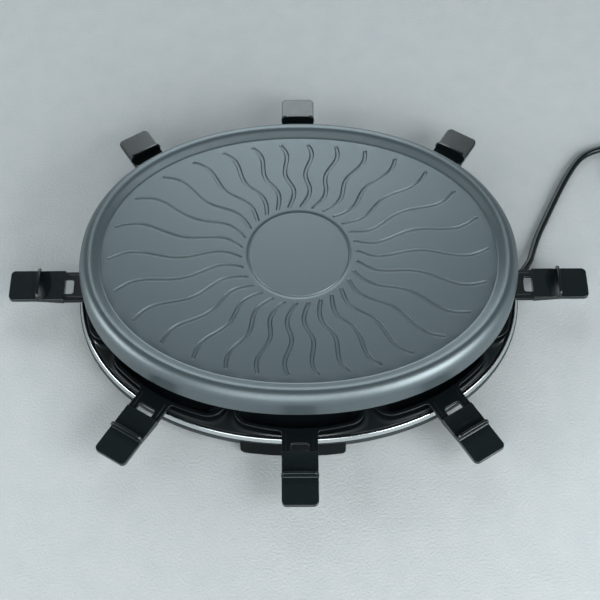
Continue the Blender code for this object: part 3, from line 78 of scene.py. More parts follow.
# General
OVAL_POWER = 2.1
FINE_STEPS = 256  # points round each fine oval
EDGE_STEPS = 5  # steps round a small edge
SHORT_EDGE_STEPS = 4
BEND_STEPS = 8
CLEARANCE = 0.0003
WELD_DISTANCE = 0.000005
TUBE_DETAIL = 4
SHARP = 50.0  # edges over this angle, in degrees, stay sharp
ROUND_SHARP = 60.0

# Cord, as in the solids
CORD_RADIUS = 0.0035
OUTLET_PLACE = (0.2212, 0.0165)
OUTLET_LEVEL = 0.01205
OUTLET_BEARING = radians(60.0)
BOOT_LENGTH = 0.0210
BOOT_ROOT_RADIUS = 0.0046
BOOT_DIP = radians(7.0)
CORD_ROUTE = (
    (0.2403, 0.0555, 0.0052), (0.2474, 0.0747, 0.0036), (0.2590, 0.0990, 0.0036),
    (0.2707, 0.1228, 0.0036), (0.2812, 0.1430, 0.0036), (0.2909, 0.1597, 0.0036),
    (0.3000, 0.1724, 0.0036), (0.3104, 0.1816, 0.0036), (0.3259, 0.1881, 0.0037),
    (0.3480, 0.1915, 0.0042), (0.3700, 0.1921, 0.0047),
)
CORD_POINT_STEP = 0.0080
COIL_CENTRE = (0.3812, 0.1461)
COIL_OUTER_RADIUS = 0.0460
COIL_PITCH = 0.0078
COIL_LAYER_RISE = 0.0076
COIL_LEVEL = 0.0052
COIL_LOWER_TURNS = 2.5
COIL_CLIMB_TURNS = 0.5
COIL_UPPER_TURNS = 2.25
COIL_POINTS_PER_TURN = 24
COIL_TUCK_SHARE = 0.15  # how far the climb leans inward, in pitches
TAIL_LENGTH = 0.0520
PLUG_RADIUS = 0.0185


def placed(name, data):
    """A new object in the scene."""
    item = bpy.data.objects.new(name, data)
    bpy.context.scene.collection.objects.link(item)
    return item


def clamped(share):
    return min(1.0, max(0.0, share))


def between(low, high, share):
    """The value at a share of the way from one value to another."""
    return low + (high - low) * share


def evenly(low, high, steps):
    """Values in even steps from one value to another, both included."""
    return [low + (high - low) * step / steps for step in range(steps + 1)]


# Camera
def make_camera():
    camera = placed("camera", bpy.data.cameras.new("camera"))
    camera.data.lens = CAMERA_LENS
    camera.data.sensor_width = SENSOR_WIDTH
    camera.location = CAMERA_PLACE
    camera.rotation_euler = Vector(CAMERA_AIM).to_track_quat("-Z", "Y").to_euler()
    bpy.context.scene.camera = camera


make_camera()


# Cord
def smooth_route(points, step):
    """Points about a step apart on a smooth curve through the given points."""
    route = [Vector(point) for point in points]
    ends = [2 * route[0] - route[1]] + route + [2 * route[-1] - route[-2]]
    found = []
    for index in range(1, len(ends) - 2):
        before, start, end, after = ends[index - 1:index + 3]
        pieces = max(1, round((end - start).length / step))
        for piece in range(pieces):
            t = piece / pieces
            found.append(0.5 * (
                2 * start + (end - before) * t
                + (2 * before - 5 * start + 4 * end - after) * t ** 2
                + (3 * start - before - 3 * end + after) * t ** 3))
    found.append(route[-1])
    return found


def coil_points():
    """Two layers of turns: a spiral inward, a climb, and a spiral outward above it."""
    climb_end = COIL_LOWER_TURNS + COIL_CLIMB_TURNS
    turns = climb_end + COIL_UPPER_TURNS
    points = []
    for step in range(round(turns * COIL_POINTS_PER_TURN) + 1):
        turn = step / COIL_POINTS_PER_TURN
        climbed = clamped((turn - COIL_LOWER_TURNS) / COIL_CLIMB_TURNS)
        wound = min(turn, COIL_LOWER_TURNS) - max(0.0, turn - climb_end)
        radius = COIL_OUTER_RADIUS - COIL_PITCH * (wound + COIL_TUCK_SHARE * sin(pi * climbed))
        rise = (1 - cos(pi * climbed)) / 2
        angle = pi / 2 - tau * turn
        points.append(Vector((COIL_CENTRE[0] + radius * cos(angle),
                              COIL_CENTRE[1] + radius * sin(angle),
                              COIL_LEVEL + COIL_LAYER_RISE * rise)))
    return points


def cord_points():
    """The whole line of the cord, from inside the boot, through the coil, to the plug."""
    along = Vector((cos(OUTLET_BEARING), sin(OUTLET_BEARING), 0.0))
    mouth = Vector((*OUTLET_PLACE, OUTLET_LEVEL))
    aim = along * cos(BOOT_DIP) - Vector((0.0, 0.0, sin(BOOT_DIP)))
    start = mouth + along * (CLEARANCE + BOOT_ROOT_RADIUS * sin(BOOT_DIP))
    boot_end = start + aim * (BOOT_LENGTH + CLEARANCE)
    coil = coil_points()
    leave = coil[-1] - coil[-2]
    leave = Vector((leave.x, leave.y, 0.0)).normalized()
    lead = 2 * CORD_RADIUS
    tail_start = coil[-1] + leave * (lead + CLEARANCE)
    neck = tail_start + leave * TAIL_LENGTH
    neck.z = PLUG_RADIUS
    points = [start + aim * CORD_RADIUS, start + aim * BOOT_LENGTH / 2, boot_end]
    points += smooth_route([boot_end + aim * lead] + list(CORD_ROUTE), CORD_POINT_STEP)
    points += coil
    points += smooth_route([tail_start, tail_start + leave * 2 * lead, neck - leave * 2 * lead,
                            neck + leave * CORD_RADIUS], CORD_POINT_STEP)
    return points, start, aim, neck, leave


def tube(name, points, radius, detail=TUBE_DETAIL):
    """A round tube with capped ends, as a mesh object."""
    curve = bpy.data.curves.new(name, "CURVE")
    curve.dimensions = "3D"
    curve.bevel_depth = radius
    curve.bevel_resolution = detail
    curve.use_fill_caps = True
    spline = curve.splines.new("POLY")
    spline.points.add(len(points) - 1)
    for point, place in zip(spline.points, points):
        point.co = (*place, 1.0)
    drawn = placed(name, curve)
    graph = bpy.context.evaluated_depsgraph_get()
    graph.update()
    mesh = bpy.data.meshes.new_from_object(drawn.evaluated_get(graph))
    bpy.data.objects.remove(drawn, do_unlink=True)
    mesh.shade_smooth()
    mesh.set_sharp_from_angle(angle=radians(ROUND_SHARP))
    return placed(name, mesh)


cord_line, boot_start, boot_aim, plug_neck, plug_aim = cord_points()
mains_cord = tube("mains_cord", cord_line, CORD_RADIUS)
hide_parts("power_cord", "cord_coil", "cord_tail")
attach(mains_cord, "base")


# Materials
SPECKLE_STOPS = (0.3, 0.7)
SPECKLE_DETAIL = 4.0
RELIEF_DEPTH = 0.0001
TRAY_RELIEF_DEPTH = 0.0002
FLOOR_RELIEF_DEPTH = 0.0012
PLATE_IOR = 1.7
PLATE_GLINT = (0.86, 0.97, 1.0, 1.0)
WIRE_SHADE = 0.85  # of the darker spots in a wire's colour


def feed(tree, node, inputs):
    """Set each named input to its value, or join it to its socket."""
    for name, value in inputs.items():
        if isinstance(value, bpy.types.NodeSocket):
            tree.links.new(value, node.inputs[name])
        else:
            node.inputs[name].default_value = value


def add_node(tree, kind, inputs=None):
    node = tree.nodes.new("ShaderNode" + kind)
    feed(tree, node, inputs or {})
    return node


def noise_in(tree, scale, detail=3.0):
    """Noise in the object's own coordinates."""
    place = add_node(tree, "TexCoord").outputs["Object"]
    noise = add_node(tree, "TexNoise", {"Vector": place, "Scale": scale, "Detail": detail})
    return noise.outputs["Fac"]


def speckle(tree, dark, pale, scale):
    """A colour that wavers between two colours."""
    ramp = add_node(tree, "ValToRGB", {"Fac": noise_in(tree, scale, SPECKLE_DETAIL)})
    for stop, place, colour in zip(ramp.color_ramp.elements, SPECKLE_STOPS, (dark, pale)):
        stop.position = place
        stop.color = (*colour, 1.0)
    return ramp.outputs["Color"]


def grain(tree, scale, strength, depth=RELIEF_DEPTH):
    """Fine relief from noise."""
    bump = add_node(tree, "Bump", {
        "Height": noise_in(tree, scale), "Distance": depth, "Strength": strength})
    return bump.outputs["Normal"]


def waver(tree, low, high, scale):
    """Roughness that wavers between two values."""
    span = add_node(tree, "MapRange", {
        "Value": noise_in(tree, scale), "To Min": low, "To Max": high})
    return span.outputs["Result"]


def finish(name, colour, roughness, metallic=0.0, specular=0.5, spots=None, relief=None,
           sheen=None):
    """A material, with its speckle, grain and wavering sheen where it has them."""
    material = bpy.data.materials.new(name)
    material.use_nodes = True
    tree = material.node_tree
    shader = tree.nodes["Principled BSDF"]
    feed(tree, shader, {"Base Color": (*colour, 1.0), "Roughness": roughness,
                        "Metallic": metallic, "Specular IOR Level": specular})
    if spots:
        feed(tree, shader, {"Base Color": speckle(tree, *spots)})
    if relief:
        feed(tree, shader, {"Normal": grain(tree, *relief)})
    if sheen:
        feed(tree, shader, {"Roughness": waver(tree, *sheen)})
    return material


floor_paint = finish(
    "floor_paint", (0.47, 0.485, 0.49), 0.9, specular=0.05,
    spots=((0.460, 0.480, 0.487), (0.485, 0.500, 0.505), 40.0),
    relief=(420.0, 0.5, FLOOR_RELIEF_DEPTH))
plate_coating = finish(
    "plate_coating", (0.030, 0.042, 0.047), 0.38, specular=1.0,
    spots=((0.028, 0.039, 0.044), (0.032, 0.045, 0.050), 900.0),
    relief=(1600.0, 0.6), sheen=(0.36, 0.42, 300.0))
plate_tree = plate_coating.node_tree
feed(plate_tree, plate_tree.nodes["Principled BSDF"],
     {"IOR": PLATE_IOR, "Specular Tint": PLATE_GLINT})
tray_enamel = finish(
    "tray_enamel", (0.006, 0.009, 0.010), 0.33, specular=1.0,
    relief=(60.0, 0.08, TRAY_RELIEF_DEPTH), sheen=(0.30, 0.38, 40.0))
pan_coating = finish(
    "pan_black", (0.003, 0.005, 0.006), 0.3, specular=0.35,
    relief=(900.0, 0.05), sheen=(0.28, 0.36, 120.0))
grip_plastic = finish(
    "grip_plastic", (0.006, 0.0095, 0.0105), 0.25, specular=0.65,
    spots=((0.0054, 0.0086, 0.0095), (0.0066, 0.0104, 0.0115), 300.0),
    relief=(1400.0, 0.15), sheen=(0.16, 0.23, 150.0))
shell_plastic = finish(
    "shell_plastic", (0.011, 0.017, 0.019), 0.45,
    relief=(1400.0, 0.3), sheen=(0.35, 0.5, 150.0))
bright_steel = finish(
    "trim_steel", (0.66, 0.70, 0.71), 0.18, metallic=1.0,
    relief=(300.0, 0.08), sheen=(0.14, 0.24, 200.0))
dull_steel = finish(
    "dull_steel", (0.35, 0.36, 0.37), 0.4, metallic=1.0,
    relief=(500.0, 0.2), sheen=(0.32, 0.48, 200.0))
element_steel = finish(
    "sheath_steel", (0.12, 0.11, 0.10), 0.45, metallic=0.9,
    spots=((0.10, 0.09, 0.085), (0.15, 0.135, 0.12), 200.0),
    relief=(500.0, 0.2), sheen=(0.38, 0.55, 120.0))
cord_rubber = finish(
    "cord_black", (0.004, 0.007, 0.008), 0.3, specular=0.4,
    relief=(900.0, 0.1), sheen=(0.24, 0.34, 150.0))
foot_plastic = finish(
    "foot_plastic", (0.0025, 0.004, 0.0045), 0.4, specular=0.15,
    relief=(1400.0, 0.2), sheen=(0.35, 0.45, 150.0))
foot_rubber = finish(
    "pad_rubber", (0.012, 0.012, 0.013), 0.8,
    relief=(900.0, 0.4), sheen=(0.7, 0.85, 150.0))
ceramic = finish(
    "block_ceramic", (0.75, 0.72, 0.66), 0.6,
    spots=((0.70, 0.67, 0.61), (0.78, 0.76, 0.70), 250.0), relief=(700.0, 0.3))
pin_metal = finish(
    "pin_brass", (0.70, 0.67, 0.60), 0.25, metallic=1.0,
    relief=(400.0, 0.1), sheen=(0.2, 0.32, 200.0))
mains_cord.data.materials.append(cord_rubber)


def wire_finish(name, colour):
    darker = tuple(WIRE_SHADE * value for value in colour)
    return finish(name, colour, 0.5, spots=(darker, colour, 300.0), relief=(900.0, 0.2))


def backdrop_colour(shade):
    return tuple(shade * tint for tint in WORLD_TINT) + (1.0,)


def combined(tree, operation, first, second):
    """The result of a Math node with two linked inputs."""
    node = add_node(tree, "Math", {0: first, 1: second})
    node.operation = operation
    return node.outputs["Value"]


def fade_floor(tree):
    """Away from the object the floor shows the backdrop's own brightness, and lights nothing."""
    place = add_node(tree, "TexCoord").outputs["Object"]
    length = add_node(tree, "VectorMath", {0: place})
    length.operation = "LENGTH"
    span = add_node(tree, "MapRange", {
        "Value": length.outputs["Value"], "From Min": FADE_START, "From Max": FADE_END})
    path = add_node(tree, "LightPath")
    mirrored = combined(tree, "MAXIMUM", path.outputs["Is Glossy Ray"],
                        path.outputs["Is Transmission Ray"])
    shown = combined(tree, "MAXIMUM", path.outputs["Is Camera Ray"], mirrored)
    glow = add_node(tree, "Emission", {"Color": backdrop_colour(BACKDROP_SHADE)})
    mix = add_node(tree, "MixShader", {
        "Fac": combined(tree, "MULTIPLY", span.outputs["Result"], shown),
        1: tree.nodes["Principled BSDF"].outputs["BSDF"], 2: glow.outputs["Emission"]})
    feed(tree, tree.nodes["Material Output"], {"Surface": mix.outputs["Shader"]})


fade_floor(floor_paint.node_tree)


# Tools for the finer pieces
def add_rings(form, rings, closed=False):
    """Rows of vertices, joined by faces; the rows are returned."""
    rows = [[form.verts.new(point) for point in ring] for ring in rings]
    pairs = list(zip(rows, rows[1:]))
    if closed:
        pairs.append((rows[-1], rows[0]))
    for lower, upper in pairs:
        count = len(lower)
        for index in range(count):
            after = (index + 1) % count
            form.faces.new((lower[index], lower[after], upper[after], upper[index]))
    return rows


def add_solid(form, rings):
    """Rings of vertices, closed by a face at both ends."""
    rows = add_rings(form, rings)
    form.faces.new(rows[0])
    form.faces.new(rows[-1])


def add_cup(form, rings):
    """Rings closed by a face at the far end; the row at the open end is returned."""
    rows = add_rings(form, rings)
    form.faces.new(rows[-1])
    return rows[0]


def fill_between(form, loops):
    """Fill the flat region inside the first loop and outside the others."""
    edges = []
    for loop in loops:
        for index, vertex in enumerate(loop):
            edges.append(form.edges.get((vertex, loop[(index + 1) % len(loop)])))
    bmesh.ops.triangle_fill(form, use_beauty=True, use_dissolve=False, edges=edges)


def mesh_of(name, form, paint, sharp=SHARP):
    """Turn a finished form into a smooth mesh."""
    bmesh.ops.recalc_face_normals(form, faces=form.faces)
    mesh = bpy.data.meshes.new(name)
    form.to_mesh(mesh)
    form.free()
    mesh.shade_smooth()
    mesh.set_sharp_from_angle(angle=radians(sharp))
    mesh.materials.append(paint)
    return mesh


def dress(name, mesh, body, node):
    """A piece of the scene that rides on a body and stands for a solid of the frame."""
    item = placed(name, mesh)
    item.modifiers.new("even_normals", "WEIGHTED_NORMAL").keep_sharp = True
    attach(item, body)
    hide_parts(node)
    return item


def dress_base(name, form, paint, node, sharp=SHARP):
    """A piece of the base, from its finished form."""
    dress(name, mesh_of(name, form, paint, sharp), "base", node)


def quarter_turns(steps):
    """Angles in even steps from zero to a right angle."""
    return evenly(0.0, pi / 2, steps)


def quarter_arc(steps):
    """Inset and drop along a rounded edge of radius one, from its upper end to its side."""
    return [(1 - sin(turn), 1 - cos(turn)) for turn in quarter_turns(steps)]


def oval_point(half_length, half_width, angle):
    cosine = cos(angle)
    sine = sin(angle)
    return (half_length * copysign(abs(cosine) ** (2 / OVAL_POWER), cosine),
            half_width * copysign(abs(sine) ** (2 / OVAL_POWER), sine))


def oval(half_length, half_width, level):
    """A ring of points on a superellipse at one level."""
    return [(*oval_point(half_length, half_width, turn), level)
            for turn in evenly(0.0, tau, FINE_STEPS)[:-1]]


def oval_reach(half_length, half_width, direction):
    """How far from the middle the superellipse lies along a direction."""
    share = ((abs(direction.x) / half_length) ** OVAL_POWER
             + (abs(direction.y) / half_width) ** OVAL_POWER)
    return share ** (-1 / OVAL_POWER)


def circle(centre, radius, level, steps):
    return [(centre[0] + radius * cos(turn), centre[1] + radius * sin(turn), level)
            for turn in evenly(0.0, tau, steps)[:-1]]


def rounded_outline(corners, radii, steps):
    """Points and outward normals along a convex outline with a fillet at each corner."""
    found = []
    count = len(corners)
    for index in range(count):
        corner = Vector(corners[index])
        before = (Vector(corners[index - 1]) - corner).normalized()
        after = (Vector(corners[(index + 1) % count]) - corner).normalized()
        half_angle = before.angle(after) / 2
        centre = corner + (before + after).normalized() * (radii[index] / sin(half_angle))
        start = before * (radii[index] / tan(half_angle)) + corner - centre
        sweep = pi - 2 * half_angle
        turn = 1.0 if before.cross(after) < 0 else -1.0
        for angle in evenly(0.0, turn * sweep, steps[index]):
            spoke = start.copy()
            spoke.rotate(Matrix.Rotation(angle, 2))
            found.append((centre + spoke, spoke.normalized()))
    return found


# Grill plate
PLATE_HALF_LENGTH = 0.2100
PLATE_HALF_WIDTH = 0.1606
PLATE_SKIRT_LEVEL = 0.0614
PLATE_CREST = 0.0900
PLATE_WALL = 0.0042
PLATE_THICKNESS = 0.0050
RIM_WIDTH = 0.0205
RIM_RISE = 0.0053
SLOPE_BEND_SHARES = (0.12, 0.45)  # rounded shares at the foot and at the top of the inner slope
SHOULDER_WIDTH = 0.0100
SHOULDER_HEIGHT = 0.0130
SKIRT_EDGE = 0.0008  # rounding of the skirt's lower edge
SEAM_WIDTH = 0.0007  # fine groove where the rim meets the cooking surface
SEAM_DEPTH = 0.0003
PLATE_FLOOR = PLATE_CREST - RIM_RISE
PLATE_UNDERSIDE = PLATE_FLOOR - PLATE_THICKNESS
BOSS_RADIUS = 0.0070
BOSS_LENGTH = 0.0080
BORE_RADIUS = 0.0022
BORE_DEPTH = 0.0053
BOSS_STEPS = 32
POST_COUNT = 4
SLOPE_STEPS = 20
SHOULDER_STEPS = 14
SKIRT_STEPS = 6

# Circular groove in the middle of the plate: radius and depth of its section
RING_SECTION = (
    (0.0515, 0.0), (0.0509, 0.00004), (0.0501, 0.00018), (0.0493, 0.00042), (0.0487, 0.00064),
    (0.0484, 0.00070), (0.0481, 0.00067), (0.0478, 0.00058), (0.0475, 0.00040), (0.0473, 0.00014),
    (0.0471, 0.0),
)
RING_STEPS = 160

# Wavy channels: shares of the half width and of the depth across one side
CHANNEL_COUNT = 30
CHANNEL_HALF_WIDTH = 0.0019
CHANNEL_DEPTH = 0.0015
CHANNEL_SECTION_SHARES = (
    (1.26, 0.0), (1.18, 0.02), (1.11, 0.07), (1.05, 0.15), (1.00, 0.26), (0.95, 0.41),
    (0.90, 0.58), (0.84, 0.75), (0.76, 0.89), (0.64, 0.97), (0.45, 1.0), (0.14, 1.0),
)
CHANNEL_POINTS = 60
CHANNEL_SMOOTHINGS = 10
CHANNEL_END_STEPS = 8
CHANNEL_END_SHARE = 0.86  # width at the very ends
CHANNEL_TAPER = 0.0080
CHANNEL_INNER_RADIUS = 0.0560
CHANNEL_INNER_TURN = radians(3.2)
CHANNEL_OUTER_TURN = radians(1.4)
CHANNEL_OUTER_INSET = 0.0295
CHANNEL_FIRST_DIP = 0.0195
CHANNEL_FIRST_DEPTH = 0.0068
CHANNEL_CREST_SHARE = 0.37
CHANNEL_SECOND_DIP_SHARE = 0.79
CHANNEL_SECOND_DEPTH_SHARE = 0.06


def channel_line(index):
    """Points, headings and widths along the centre of one wavy channel."""
    step = tau * index / CHANNEL_COUNT
    inner = step + CHANNEL_INNER_TURN
    outer = step + CHANNEL_OUTER_TURN
    start = CHANNEL_INNER_RADIUS * Vector((cos(inner), sin(inner)))
    ray = Vector((cos(outer), sin(outer)))
    reach = oval_reach(PLATE_HALF_LENGTH - CHANNEL_OUTER_INSET,
                       PLATE_HALF_WIDTH - CHANNEL_OUTER_INSET, ray)
    run = ray * reach - start
    length = run.length
    along = run.normalized()
    clockwise = Vector((along.y, -along.x))
    crest = between(CHANNEL_FIRST_DIP, length, CHANNEL_CREST_SHARE)
    second = between(CHANNEL_FIRST_DIP, length, CHANNEL_SECOND_DIP_SHARE)
    second_depth = CHANNEL_SECOND_DEPTH_SHARE * length
    bends = ((-CHANNEL_FIRST_DIP, -CHANNEL_FIRST_DEPTH), (CHANNEL_FIRST_DIP, CHANNEL_FIRST_DEPTH),
             (crest, 0.0), (second, second_depth), (2 * length - second, -second_depth))

    def dip(distance):
        index = sum(distance >= place for place, _ in bends[1:-1])
        (low, before), (high, after) = bends[index:index + 2]
        return between(before, after, (1 - cos(pi * (distance - low) / (high - low))) / 2)

    points = []
    widths = []
    for distance in evenly(0.0, length, CHANNEL_POINTS - 1):
        points.append(start + along * distance + clockwise * dip(distance))
        near_end = min(1.0, min(distance, length - distance) / CHANNEL_TAPER)
        widths.append(between(CHANNEL_END_SHARE, 1.0, sin(pi / 2 * near_end)))
    for _ in range(CHANNEL_SMOOTHINGS):
        points = [points[0]] + [
            (before + 2 * point + after) / 4
            for before, point, after in zip(points, points[1:], points[2:])] + [points[-1]]
    headings = []
    for place in range(CHANNEL_POINTS):
        before = points[max(place - 1, 0)]
        after = points[min(place + 1, CHANNEL_POINTS - 1)]
        headings.append((after - before).normalized())
    return points, headings, widths


def channel_ring(line, half_width, level):
    """One closed outline round a channel: up its right side, round the end and back."""
    points, headings, widths = line
    ring = []
    for sign, order in ((-1, range(CHANNEL_POINTS)), (1, range(CHANNEL_POINTS - 1, -1, -1))):
        for place in order:
            heading = headings[place]
            side = Vector((-heading.y, heading.x)) * sign
            ring.append(points[place] + side * half_width * widths[place])
        turn = points[order[-1]]
        spoke = ring[-1] - turn
        for angle in evenly(0.0, pi, CHANNEL_END_STEPS)[1:-1]:
            swept = spoke.copy()
            swept.rotate(Matrix.Rotation(angle, 2))
            ring.append(turn + swept)
    return [(point.x, point.y, level) for point in ring]


def add_channel(form, index):
    """Carve one channel; its mouth is returned, for the surface around it."""
    line = channel_line(index)
    rows = add_rings(form, [
        channel_ring(line, CHANNEL_HALF_WIDTH * width, PLATE_FLOOR - CHANNEL_DEPTH * depth)
        for width, depth in CHANNEL_SECTION_SHARES])
    last = rows[-1]
    count = len(last)
    far_end = CHANNEL_POINTS + CHANNEL_END_STEPS - 1
    for place in range(CHANNEL_POINTS - 1):
        left = far_end + CHANNEL_POINTS - 1 - place
        form.faces.new((last[place], last[place + 1], last[left - 1], last[left]))
    form.faces.new(last[CHANNEL_POINTS - 1:far_end + 1])
    form.faces.new(last[far_end + CHANNEL_POINTS - 1:count] + last[:1])
    return rows[0]


def slope_rise(t):
    """Rise of the inner slope, from 0 to 1, at a share of its width; its two bends are rounded."""
    foot, head = SLOPE_BEND_SHARES
    full = 1 - foot / 2 - head / 2
    if t < foot:
        rise = t * t / (2 * foot)
    elif t < 1 - head:
        rise = t - foot / 2
    else:
        rise = full - (1 - t) ** 2 / (2 * head)
    return rise / full


def plate_profile():
    """Inset and level from the edge of the cooking surface, over the rim, to the underside."""
    profile = [(RIM_WIDTH + SEAM_WIDTH, PLATE_FLOOR),
               (RIM_WIDTH + SEAM_WIDTH / 2, PLATE_FLOOR - SEAM_DEPTH),
               (RIM_WIDTH, PLATE_FLOOR)]
    profile += [(between(RIM_WIDTH, SHOULDER_WIDTH, t), PLATE_FLOOR + RIM_RISE * slope_rise(t))
                for t in evenly(0.0, 1.0, SLOPE_STEPS)[1:-1]]
    profile += [(SHOULDER_WIDTH * inset, PLATE_CREST - SHOULDER_HEIGHT * drop)
                for inset, drop in quarter_arc(SHOULDER_STEPS)]
    profile += [(PLATE_WALL / 2 * (1 - cos(turn)), PLATE_SKIRT_LEVEL + SKIRT_EDGE * (1 - sin(turn)))
                for turn in evenly(0.0, pi, SKIRT_STEPS)]
    profile += [(PLATE_WALL + PLATE_THICKNESS * inset, PLATE_UNDERSIDE - PLATE_THICKNESS * drop)
                for drop, inset in quarter_arc(SKIRT_STEPS)]
    return profile


def add_boss(form, number):
    """The bored boss over one post; its root is returned, for the underside around it."""
    low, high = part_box("plate_post_%d" % number)
    centre = ((low[0] + high[0]) / 2, (low[1] + high[1]) / 2)
    foot = PLATE_UNDERSIDE - BOSS_LENGTH
    return add_cup(form, [
        circle(centre, radius, level, BOSS_STEPS) for radius, level in (
            (BOSS_RADIUS + 2 * SKIRT_EDGE, PLATE_UNDERSIDE),
            (BOSS_RADIUS + SKIRT_EDGE / 2, PLATE_UNDERSIDE - SKIRT_EDGE / 2),
            (BOSS_RADIUS, PLATE_UNDERSIDE - 2 * SKIRT_EDGE),
            (BOSS_RADIUS - SKIRT_EDGE / 2, foot), (BORE_RADIUS, foot),
            (BORE_RADIUS, foot + BORE_DEPTH))])


def make_plate():
    """Cast plate with its rolled rim, wavy channels, centre groove and four bosses."""
    form = bmesh.new()
    rows = add_rings(form, [oval(PLATE_HALF_LENGTH - inset, PLATE_HALF_WIDTH - inset, level)
                            for inset, level in plate_profile()])
    groove = add_cup(form, [circle((0.0, 0.0), radius, PLATE_FLOOR - depth, RING_STEPS)
                            for radius, depth in RING_SECTION])
    mouths = [add_channel(form, index) for index in range(CHANNEL_COUNT)]
    fill_between(form, [rows[0], groove] + mouths)
    bosses = [add_boss(form, number) for number in range(1, POST_COUNT + 1)]
    fill_between(form, [rows[-1]] + bosses)
    dress("cast_plate", mesh_of("cast_plate", form, plate_coating), "plate",
          "grill_plate")


make_plate()


# Pans and their grips, in the frame of a pan: X points outward, and the nose is at the origin
PAN_SHEET = 0.0012
PAN_RIM = 0.0294
PAN_LENGTH = 0.0900
PAN_INNER_HALF_WIDTH = 0.0260
PAN_OUTER_HALF_WIDTH = 0.0718
PAN_NOSE_DROP = 0.0140
PAN_NOSE_BULGE = 0.0041
PAN_NOSE_SHARE = 0.58
PAN_INNER_CORNER = 0.0200
PAN_OUTER_CORNER = 0.0180
PAN_CORNER_STEPS = (10, 10, 14, 30, 14)
LIP_DROP = 0.0019  # depth of the turned-down edge round the rim
STEM_DROP = 0.0042  # and along the stem
LIP_RADIUS = 0.0007
STEM_LENGTH = 0.0205
STEM_WIDTH = 0.0336
STEM_FILLET = 0.0040
STEM_SEAT = 0.0020  # how far the stem goes into its grip
STEM_POINTS = 12
WINDOW_LENGTH = 0.0084
WINDOW_WIDTH = 0.0166
WINDOW_CORNER = 0.0026
BEAD_INSET = 0.0041  # middle of each stiffening bead from the stem's side
BEAD_HALF_WIDTH = 0.0008
BEAD_RISE = 0.0004
BEAD_REACH = (0.0016, 0.0178)
BEAD_STEPS = 6
BEAD_CROWN_SHARE = 0.001  # what is left of a bead's width at its crown
LIP_SECTION_SHARES = (  # inset and rise of the turned lip's lower edge
    (0.0, 1.0), (0.25, 0.25), (0.5, 0.0), (0.75, 0.25), (1.0, 1.0),
)
WINDOW_STEPS = (3, 6, 6, 3)
DISH_SECTION = (  # inset and drop of the inner surface
    (0.0024, 0.0), (0.0030, 0.0001), (0.0036, 0.0005), (0.0042, 0.0012), (0.0052, 0.0029),
    (0.0065, 0.0054), (0.0081, 0.0079), (0.0098, 0.0097), (0.0119, 0.0111), (0.0144, 0.0119),
    (0.0172, 0.0123),
)
GRIP_LENGTH = 0.0542
GRIP_WIDTH = 0.0338
GRIP_TOP = 0.0318
GRIP_ROOT_THICKNESS = 0.0080
GRIP_TIP_THICKNESS = 0.0045
GRIP_CORNER = 0.0050
GRIP_EDGE = 0.0007
STOP_FROM_TIP = 0.0275
STOP_THICKNESS = 0.0028
STOP_HEIGHT = 0.0080
STOP_CORNER = 0.0056
STOP_CROWN = 0.0004  # rise of the stop's middle above its shoulders
STOP_FOOT = 0.0020  # how far the stop goes down over the grip
STOP_OVERHANG = 0.0005
STOP_EDGE = 0.0007
STOP_FILLET = 0.0008
SCOOP_LENGTH = 0.0104
SCOOP_DEPTH = 0.0021
SCOOP_HALF_WIDTH = 0.0196
CROSS_POINTS = 44  # across the top of the grip
TIP_STEPS = 10
CROWN_STEPS = 6
ROOT_STATIONS = 8  # along the grip, up to the scoop, through it and beyond it
SCOOP_STATIONS = 30
PLAIN_STATIONS = 18
GRIP_SHARP = 35.0


def rim_outline():
    """Points and normals round the rim of a dish, with its nose at the origin."""
    nose_height = PAN_NOSE_DROP + PAN_NOSE_BULGE
    edge = hypot(nose_height, PAN_OUTER_HALF_WIDTH)
    nose_radius = PAN_NOSE_SHARE * edge * PAN_OUTER_HALF_WIDTH / nose_height
    corners = (
        (-PAN_LENGTH, PAN_INNER_HALF_WIDTH), (-PAN_LENGTH, -PAN_INNER_HALF_WIDTH),
        (-PAN_NOSE_DROP, -PAN_OUTER_HALF_WIDTH), (PAN_NOSE_BULGE, 0.0),
        (-PAN_NOSE_DROP, PAN_OUTER_HALF_WIDTH))
    radii = (PAN_INNER_CORNER, PAN_INNER_CORNER, PAN_OUTER_CORNER, nose_radius, PAN_OUTER_CORNER)
    outline = rounded_outline(corners, radii, PAN_CORNER_STEPS)
    nose = max(point.x for point, _ in outline)
    return [(Vector((point.x - nose, point.y)), normal) for point, normal in outline], nose_radius


RIM_OUTLINE, NOSE_RADIUS = rim_outline()


def inset_ring(outline, inset, level):
    return [(point.x - normal.x * inset, point.y - normal.y * inset, level)
            for point, normal in outline]


